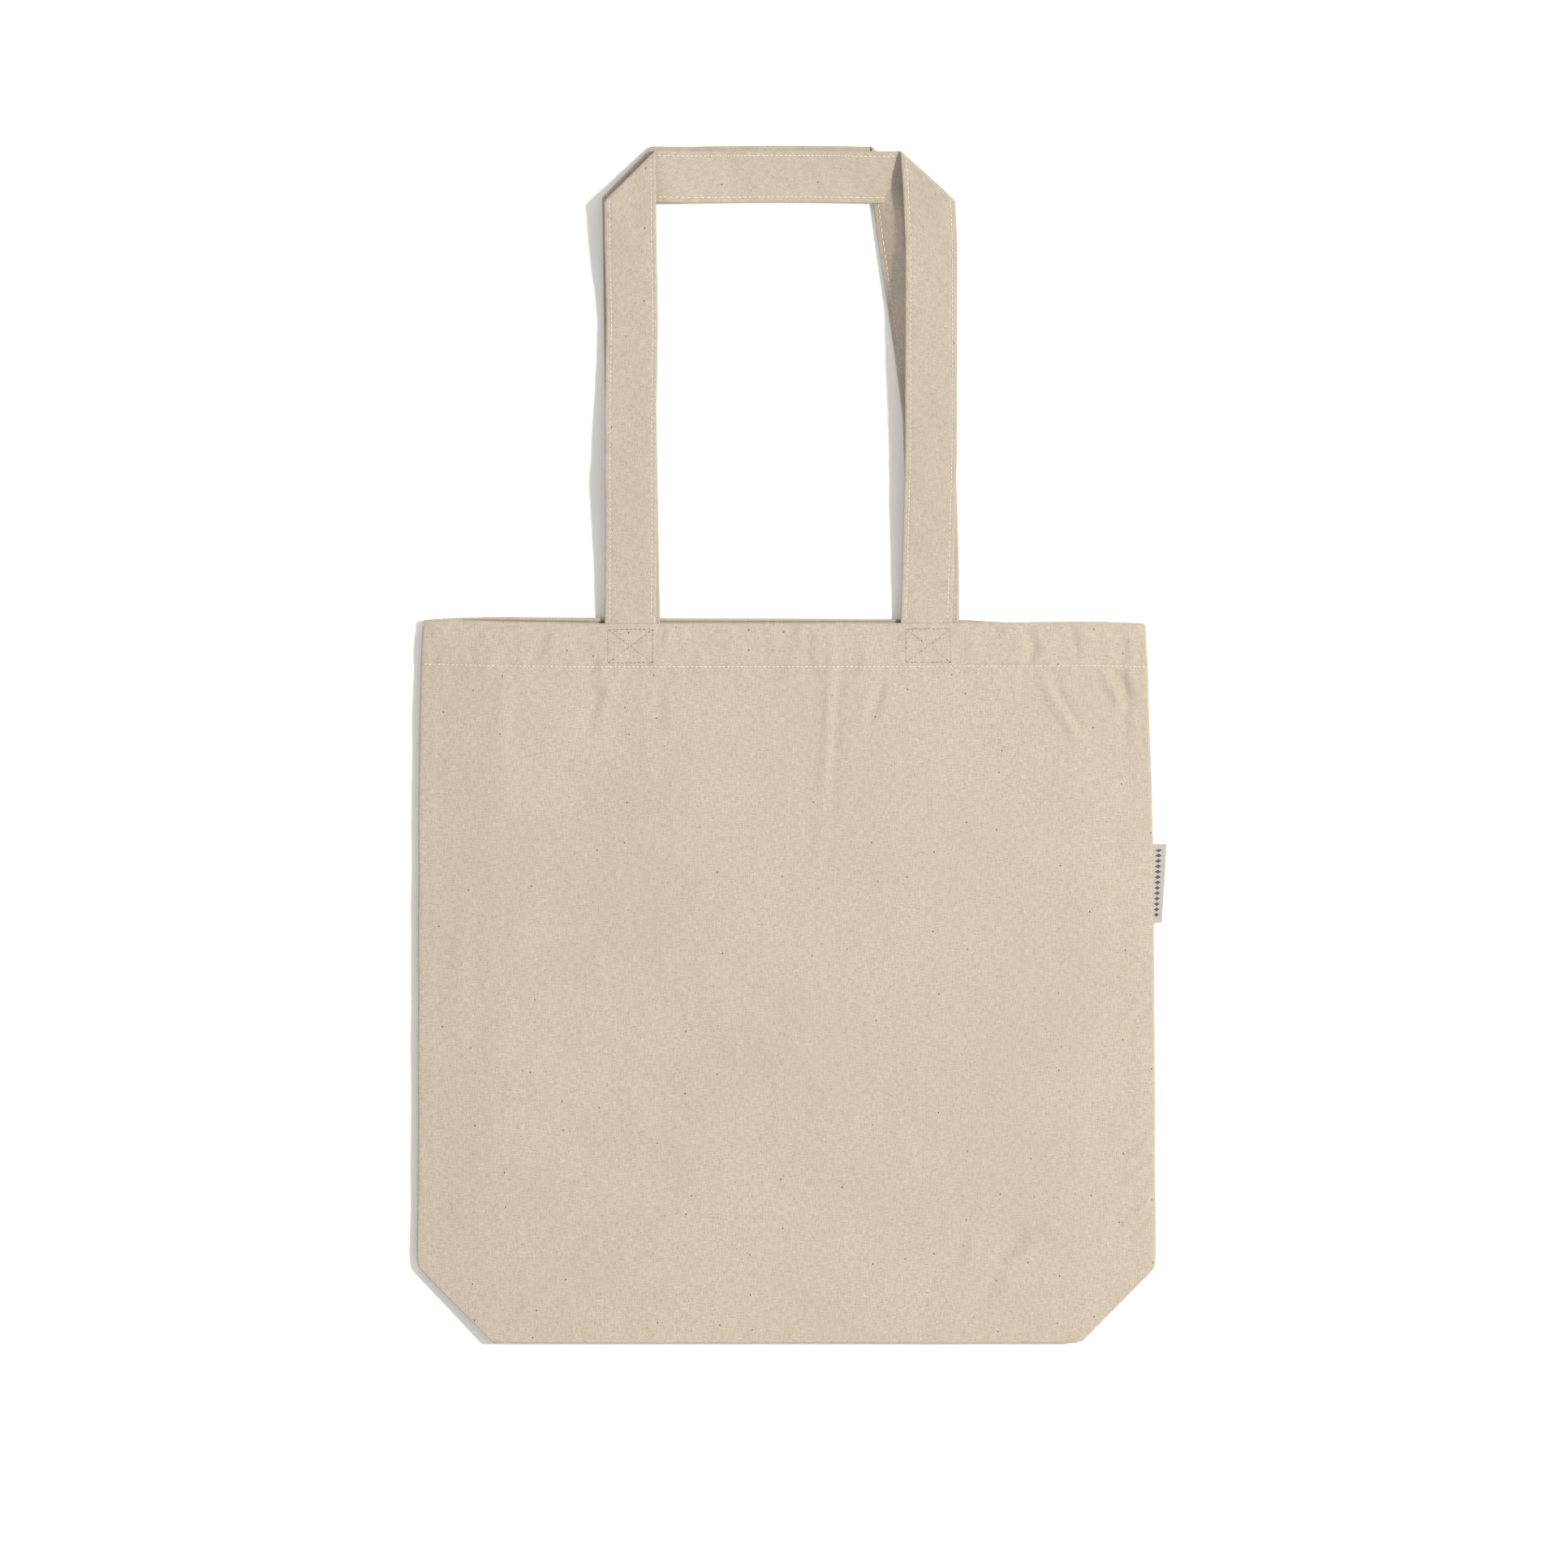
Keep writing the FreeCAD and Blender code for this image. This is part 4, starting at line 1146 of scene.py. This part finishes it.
class Strap:
    """One flat strap, folded at two corners, from its flat length to its place on the bag."""

    def __init__(self, layer):
        self.layer = layer
        box_low, box_high = (STRAP_LOW, STRAP_HIGH) if layer > 0 else (BACK_STRAP_LOW, BACK_STRAP_HIGH)
        self.left = box_low[0]
        self.top = box_high[1] - (1.2 if layer > 0 else 0.4)
        self.middle_z = (box_low[2] + box_high[2]) / 2
        self.lean = 0.0 if layer > 0 else STRAP_RIGHT_HIGH[0] - BACK_GRIP_RIGHT_X
        self.spacing = STRAP_RIGHT_LOW[0] - STRAP_LOW[0] - self.lean
        self.bend = 0.92
        self.take = math.pi * self.bend / math.sqrt(2)
        self.fold_one = self.top - STRAP_WIDTH / 2
        self.fold_two = self.fold_one + self.spacing
        self.start = STRAP_END_Y
        self.length = 2 * (self.fold_one - self.start) + self.spacing
        self.end = self.start + self.length
        self.middle_x = self.left + STRAP_WIDTH / 2

    def slope(self, s):
        """How far the rows lean, so that they lie along each fold line."""
        one, two = s - self.fold_one, s - self.fold_two
        near_one = smooth(one, -60, -22) * (1 - smooth(one, 24, 62))
        near_two = smooth(two, -62, -24) * (1 - smooth(two, 22, 60))
        return near_one - near_two

    def rows(self):
        reach = self.take + 1.2
        one, two = self.fold_one, self.fold_two
        hem = self.end - (MOUTH_Y + 8 - self.start)
        return spaced((self.start, MOUTH_Y - 4, 1.8), (MOUTH_Y - 4, MOUTH_Y + 8, 0.8),
                      (MOUTH_Y + 8, one - reach, 2.2), (one - reach, one + reach, 0.3),
                      (one + reach, two - reach, 2.2), (two - reach, two + reach, 0.3),
                      (two + reach, hem, 2.2), (hem, self.end, 0.9))

    def folded(self, x, y, z):
        """Folds flat strap places, far corner first."""
        point = np.stack([x, y, z], -1)
        centre = self.left + STRAP_WIDTH / 2
        for fold, way in ((self.fold_two, 1.0), (self.fold_one, -1.0)):
            normal = np.array([way, 1.0, 0.0]) / math.sqrt(2)
            anchor = np.array([centre, fold - self.take, 0.0])
            distance = (point - anchor) @ normal
            height = point[..., 2]
            angle = np.clip(distance / self.bend, 0, math.pi)
            over = np.maximum(distance - math.pi * self.bend, 0)
            ring = self.bend + height
            new_distance = np.where(distance > 0, ring * np.sin(angle) - over, distance)
            new_height = np.where(distance > 0, -self.bend + ring * np.cos(angle), height)
            point = point + normal * (new_distance - distance)[..., None]
            point[..., 2] = new_height
        return point

    def settle(self, point, s):
        """Lays the folded strap down: its rise and fall along each leg, and its lean."""
        x, y, z = (point[..., k].copy() for k in range(3))
        right = smooth(x, -30, 30)
        on_grip = (smooth(s, self.fold_one - self.take, self.fold_one + self.take)
                   * (1 - smooth(s, self.fold_two - self.take, self.fold_two + self.take)))
        left_y = y + on_grip * (self.top + x - self.left - STRAP_WIDTH - y)
        right_y = y + on_grip * (self.top + self.left + self.spacing - x - y)
        across = np.clip((x - self.left - self.spacing) - STRAP_WIDTH / 2, -20, 20)
        if self.lean:
            down = 1 - smooth(y, 285, 425)
            linear = np.clip((self.top - 24 - y) / 116, 0, 1)
            x = x + right * self.lean * (0.35 * down + 0.65 * linear)
        left_rise, right_rise = self.rises(left_y)[0], self.rises(right_y)[1]
        if self.lean:
            tilt = np.interp(right_y, *BACK_LEG_TILT)
            right_rise = right_rise + tilt * (1 - on_grip) * (np.minimum(across, 1.5) + 12.0)
        rise = left_rise * (1 - right) + right_rise * right
        sway_left, sway_right = self.sways(y)
        x = x + (sway_left * (1 - right) + sway_right * right)
        grip = smooth(y, self.top - 30, self.top - 27) * smooth(x, -64, -40) * (1 - smooth(x, 30, 56))
        y = y + grip * 0.5 * np.cos(x / 31.0)
        relief = RELIEF[self.layer](x, np.minimum(y, MOUTH_Y)) * (1 - smooth(y, MOUTH_Y - 1, MOUTH_Y + 14))
        crumple = (ripple(x, y, 91 + self.layer, 16, 50, 0.30)
                   + ripple(x, y * 1.3, 94 + self.layer, 7, 16, 0.13))
        fade = smooth(y, MOUTH_Y - 2, MOUTH_Y + 12)
        lift = self.layer * relief + fade * (rise + crumple)
        if self.layer < 0:
            lift = np.maximum(lift, BACK_STRAP_LOWEST)
        z = self.middle_z + z + lift
        return np.stack([x, y, z], -1)

    def rises(self, y):
        """How high the left and right leg stand off their flat place."""
        if self.layer > 0:
            left = np.interp(y, (187, 199, 216, 241, 262, 275, 308, 342, 362, 384, 407, 434, 470),
                             (0.0, 1.0, 2.5, 4.6, 6.2, 4.6, 1.6, 0.4, 2.6, 6.6, 9.0, 5.0, 0.0))
            right = np.interp(y, (187, 199, 216, 241, 300, 340, 380, 407, 420, 434),
                              (0.0, 1.0, 2.5, 4.6, 8.0, 10.8, 11.6, 10.8, 7.4, 0.4))
        else:
            left = np.interp(y, (187, 199, 216, 241, 275, 308, 342, 384, 407, 434, 470),
                             (0.0, 2.2, 4.4, 4.0, 2.0, 0.5, 0.2, 2.0, 3.2, 1.6, 0.0))
            right = np.interp(y, (187, 199, 216, 250, 300, 434), (0.0, 1.0, 2.0, 2.0, 0.4, 0.2))
        return left, right

    def sways(self, y):
        """Sideways drift of the left and right leg."""
        if self.layer > 0:
            left = np.interp(y, (187, 230, 300, 345, 380, 434), (0.0, 0.4, 0.2, 0.9, 0.3, -0.2))
            right = np.interp(y, (187, 241, 275, 384, 415, 431), (-0.9, 0.4, 1.3, 1.4, 0.0, -1.0))
        else:
            left = np.interp(y, (187, 230, 300, 350, 400, 434), (1.9, 1.2, 0.0, -0.6, -1.2, -1.9))
            right = np.interp(y, (187, 215, 250, 300, 434), (2.6, 2.6, 1.6, 0.0, 0.0))
        return left, right

    def place(self, s, across, height=0.0):
        """Place of a point s along the strap, across its width, and height above its middle."""
        s, across = np.broadcast_arrays(np.asarray(s, float), np.asarray(across, float))
        y = s + self.slope(s) * across
        x = self.middle_x + across
        return self.settle(self.folded(x, y, np.zeros(np.shape(x)) + height), s)


def strap_section():
    """Closed outline of the strap: across and height, with soft edges and sewn grooves."""
    half, thick = STRAP_WIDTH / 2, STRAP_THICK / 2
    top = []
    right = (3, 6, 8.6, 10.2, 10.8, 11.4, 12.4, 13.1)
    for across in [-place for place in reversed(right)] + [0, *right]:
        groove = 0.16 * math.exp(-((abs(across) - (half - STRAP_STITCH_INSET)) / 0.5) ** 2)
        edge = 0.16 * max(0.0, (abs(across) - 11.6) / 1.5) ** 2
        top.append((across, thick - groove - edge))
    bottom = [(across, -height) for across, height in reversed(top)]
    return np.array(top + [(half, thick * 0.3), (half, -thick * 0.3)] + bottom
                    + [(-half, -thick * 0.3), (-half, thick * 0.3)])


def make_handle(layer):
    sizes = settings()[0]
    strap = Strap(layer)
    section = strap_section()
    rows = strap.rows()
    points = strap.place(rows[:, None], section[None, :, 0], section[None, :, 1])
    count, around = points.shape[:2]
    index = np.arange(count * around).reshape(count, around)
    after = np.roll(index, -1, axis=1)
    faces = np.stack([index[:-1], after[:-1], after[1:], index[1:]], -1).reshape(-1, 4)[:, ::-1].tolist()
    faces.append(index[0].tolist())
    faces.append(index[-1].tolist()[::-1])
    across_flat = section[None, :, 0] + 3 * np.sign(section[None, :, 1])
    uv = np.stack(np.broadcast_arrays(across_flat, rows[:, None]), -1)
    name = layer_name(layer)
    thing = build(f"{name}_handle_strap", points.reshape(-1, 3), faces, uv.reshape(-1, 2) + [40 * layer, 0],
                  MATERIALS["strap"])
    parts = ("left_end", "right_end", "left_leg", "right_leg", "grip")
    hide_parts(*[f"{name}_handle_{part}" for part in parts])
    handle_blend(thing)

    runs = []
    for edge in (-1, 1):
        for face in (-1, 1):
            def row(s, drift, edge=edge, face=face):
                return strap.place(s, edge * (STRAP_WIDTH / 2 - STRAP_STITCH_INSET) + drift,
                                   face * (STRAP_THICK / 2 - 0.06))

            def up(s, edge=edge, face=face):
                across = edge * (STRAP_WIDTH / 2 - STRAP_STITCH_INSET)
                return face * (strap.place(s, across, 0.5) - strap.place(s, across, -0.5))

            runs.append(run_along(row, up, strap.start + 24, strap.end - 24, STITCH_PITCH, 0.72,
                                  30 + edge + 3 * face))
    sewn = stitches(f"{name}_handle_stitches", runs, sizes.thread / MM / 2 * 0.85, MATERIALS["thread"])
    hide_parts(f"{name}_handle_leg_stitching", f"{name}_handle_grip_stitching")
    handle_blend(sewn)


def handle_blend(thing):
    """Moves the placement of a strap or its stitching into its mesh points."""
    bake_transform(thing)


# ---------------------------------------------------------------- label

LABEL_X = 191.2
LABEL_REACH = 6.6
LABEL_TURN = 14.2
LABEL_HALF = 0.34
LABEL_TAPE = 0.26


def make_label():
    """Woven tape folded double: its cut ends are sewn in the seam and its fold stands out."""
    reach = spaced((TAB_LEFT_X - 190, 1.0, 1.0), (1.0, LABEL_REACH, 0.7))
    turns = np.radians((30, 90, 150))
    half = LABEL_HALF
    along = spaced((0, LABEL_HIGH[1] - LABEL_LOW[1], 1.6))
    rows = []
    for v in along:
        share = v / along[-1]
        outer = 5.0 + 2.0 * share
        y = LABEL_LOW[1] + v
        lift = 0.35 * math.sin(share * math.pi) + 0.12
        line = []
        for u in reach:
            part = min(1.0, max(0.0, u / LABEL_REACH))
            x = LABEL_X - 0.5 * (1 - share) + (u if u < 0 else part * (outer + 0.2))
            rise = lift * part ** 2 + 0.10 * part * math.sin(v * 0.31)
            line.append((x, y + 0.25 * part, MIDDLE_Z + half + rise, u))
        tip = line[-1]
        for turn in turns:
            line.append((tip[0] + half * math.sin(turn), tip[1], tip[2] - half + half * math.cos(turn),
                         LABEL_REACH + half * turn))
        for x, y_here, z, u in reversed(line[:len(reach)]):
            line.append((x, y_here, z - 2 * half, LABEL_TURN - u))
        rows.append(line)
    grid = np.array(rows)
    flat = np.stack([grid[..., 3], np.repeat(along[:, None], grid.shape[1], 1)], -1)
    thing = cloth_sheet("side_label_tape", grid[..., :3], LABEL_TAPE, flat, look=("tape", "label_tape"))
    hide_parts("label_tab", "label_flap")
    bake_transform(thing)


# ---------------------------------------------------------------- stage

FLOOR_SIZE = 9.0
FLOOR_Z = -0.0003
VIEW_CENTRE = (-0.0006, 0.1034)
LIGHT_CENTRE_Y = 0.1
LIGHT_DISTANCE = 4.2
LIGHT_SIZE = 0.52
LIGHT_ELEVATION = math.radians(57)
LIGHT_AZIMUTH = math.radians(9)


def make_stage():
    _, colours, stage = settings()
    scene = bpy.context.scene
    bpy.ops.object.select_all(action="DESELECT")
    bpy.ops.mesh.primitive_plane_add(size=FLOOR_SIZE, location=(0, LIGHT_CENTRE_Y, FLOOR_Z))
    floor = bpy.context.object
    floor.name = "floor"
    material, tree, shader = new_material("floor_paint")
    place = add(tree, "ShaderNodeTexCoord", out=3)
    grain = noise(tree, place, 3.0, 2.0)
    tone = mix(tree, grain, tint(colours.floor, 0.985), rgba(colours.floor))
    set_surface(tree, shader, tone, None, 0.9, 0.1)
    floor.data.materials.append(material)

    camera_data = bpy.data.cameras.new("camera")
    camera = bpy.data.objects.new("camera", camera_data)
    scene.collection.objects.link(camera)
    camera.location = (*VIEW_CENTRE, stage.camera_height)
    camera.rotation_euler = (0, 0, 0)
    camera_data.sensor_width = 36.0
    camera_data.lens = camera_data.sensor_width * stage.camera_height / stage.view_width
    camera_data.clip_end = 50
    scene.camera = camera

    key_data = bpy.data.lights.new("key", "AREA")
    key_data.shape = "DISK"
    key_data.size = LIGHT_SIZE
    key_data.energy = stage.key_power
    key_data.color = (1.0, 0.985, 0.955)
    key = bpy.data.objects.new("key", key_data)
    scene.collection.objects.link(key)
    level = LIGHT_DISTANCE * math.cos(LIGHT_ELEVATION)
    key.location = (level * math.cos(LIGHT_AZIMUTH), LIGHT_CENTRE_Y + level * math.sin(LIGHT_AZIMUTH),
                    LIGHT_DISTANCE * math.sin(LIGHT_ELEVATION))
    direction = key.location.copy()
    direction.y -= LIGHT_CENTRE_Y
    key.rotation_euler = direction.to_track_quat("Z", "Y").to_euler()

    world = bpy.data.worlds.new("studio")
    world.use_nodes = True
    background = world.node_tree.nodes["Background"]
    background.inputs[0].default_value = (1.0, 0.99, 0.975, 1.0)
    background.inputs[1].default_value = stage.fill
    scene.world = world
    scene.view_settings.view_transform = "Standard"


# ---------------------------------------------------------------- operators and panel

class TOTE_OT_materials(bpy.types.Operator):
    """Mixes the cloth, thread and label finishes"""
    bl_idname = "tote.materials"
    bl_label = "Materials"

    def execute(self, context):
        make_materials()
        return {"FINISHED"}


class TOTE_OT_panels(bpy.types.Operator):
    """Cuts and presses the front and back cloth"""
    bl_idname = "tote.panels"
    bl_label = "Front and back cloth"

    def execute(self, context):
        for layer in (1, -1):
            make_panel(layer)
        return {"FINISHED"}


class TOTE_OT_hems(bpy.types.Operator):
    """Turns in the mouth hems and sews them"""
    bl_idname = "tote.hems"
    bl_label = "Hems"

    def execute(self, context):
        for layer in (1, -1):
            make_hem(layer)
            make_hem_stitching(layer)
        return {"FINISHED"}


class TOTE_OT_base(bpy.types.Operator):
    """Folds the base and the four corners inside"""
    bl_idname = "tote.base"
    bl_label = "Base and corners"

    def execute(self, context):
        make_base()
        make_corners()
        return {"FINISHED"}


class TOTE_OT_seams(bpy.types.Operator):
    """Sews and overlocks the side and base seams"""
    bl_idname = "tote.seams"
    bl_label = "Seams"

    def execute(self, context):
        make_seams()
        return {"FINISHED"}


class TOTE_OT_handles(bpy.types.Operator):
    """Folds and sews the two strap handles"""
    bl_idname = "tote.handles"
    bl_label = "Handles"

    def execute(self, context):
        for layer in (1, -1):
            make_handle(layer)
            make_box_stitching(layer)
        return {"FINISHED"}


class TOTE_OT_label(bpy.types.Operator):
    """Folds the woven side label"""
    bl_idname = "tote.label"
    bl_label = "Side label"

    def execute(self, context):
        make_label()
        return {"FINISHED"}


class TOTE_OT_stage(bpy.types.Operator):
    """Sets the floor, the light and the camera"""
    bl_idname = "tote.stage"
    bl_label = "Stage"

    def execute(self, context):
        make_stage()
        return {"FINISHED"}


OPERATORS = (TOTE_OT_materials, TOTE_OT_stage, TOTE_OT_seams, TOTE_OT_panels, TOTE_OT_hems, TOTE_OT_base,
             TOTE_OT_handles, TOTE_OT_label)
GROUPS = (ToteSizes, ToteColours, ToteStage)


class TOTE_PT_panel(bpy.types.Panel):
    """Lists the sizes, colours and pieces of the bag"""
    bl_label = "Canvas tote bag"
    bl_idname = "TOTE_PT_panel"
    bl_space_type = "VIEW_3D"
    bl_region_type = "UI"
    bl_category = "Tote"

    def draw(self, context):
        layout = self.layout
        for group in settings():
            for key in group.__annotations__:
                layout.prop(group, key)
        for operator in OPERATORS:
            layout.operator(operator.bl_idname)


def register():
    for item in GROUPS + OPERATORS + (TOTE_PT_panel,):
        bpy.utils.register_class(item)
    bpy.types.Scene.tote_sizes = PointerProperty(type=ToteSizes)
    bpy.types.Scene.tote_colours = PointerProperty(type=ToteColours)
    bpy.types.Scene.tote_stage = PointerProperty(type=ToteStage)


def unregister():
    for name in ("tote_sizes", "tote_colours", "tote_stage"):
        delattr(bpy.types.Scene, name)
    for item in reversed(GROUPS + OPERATORS + (TOTE_PT_panel,)):
        bpy.utils.unregister_class(item)


def main():
    register()
    for operator in OPERATORS:
        group, name = operator.bl_idname.split(".")
        getattr(getattr(bpy.ops, group), name)()


if __name__ == "__main__":
    main()
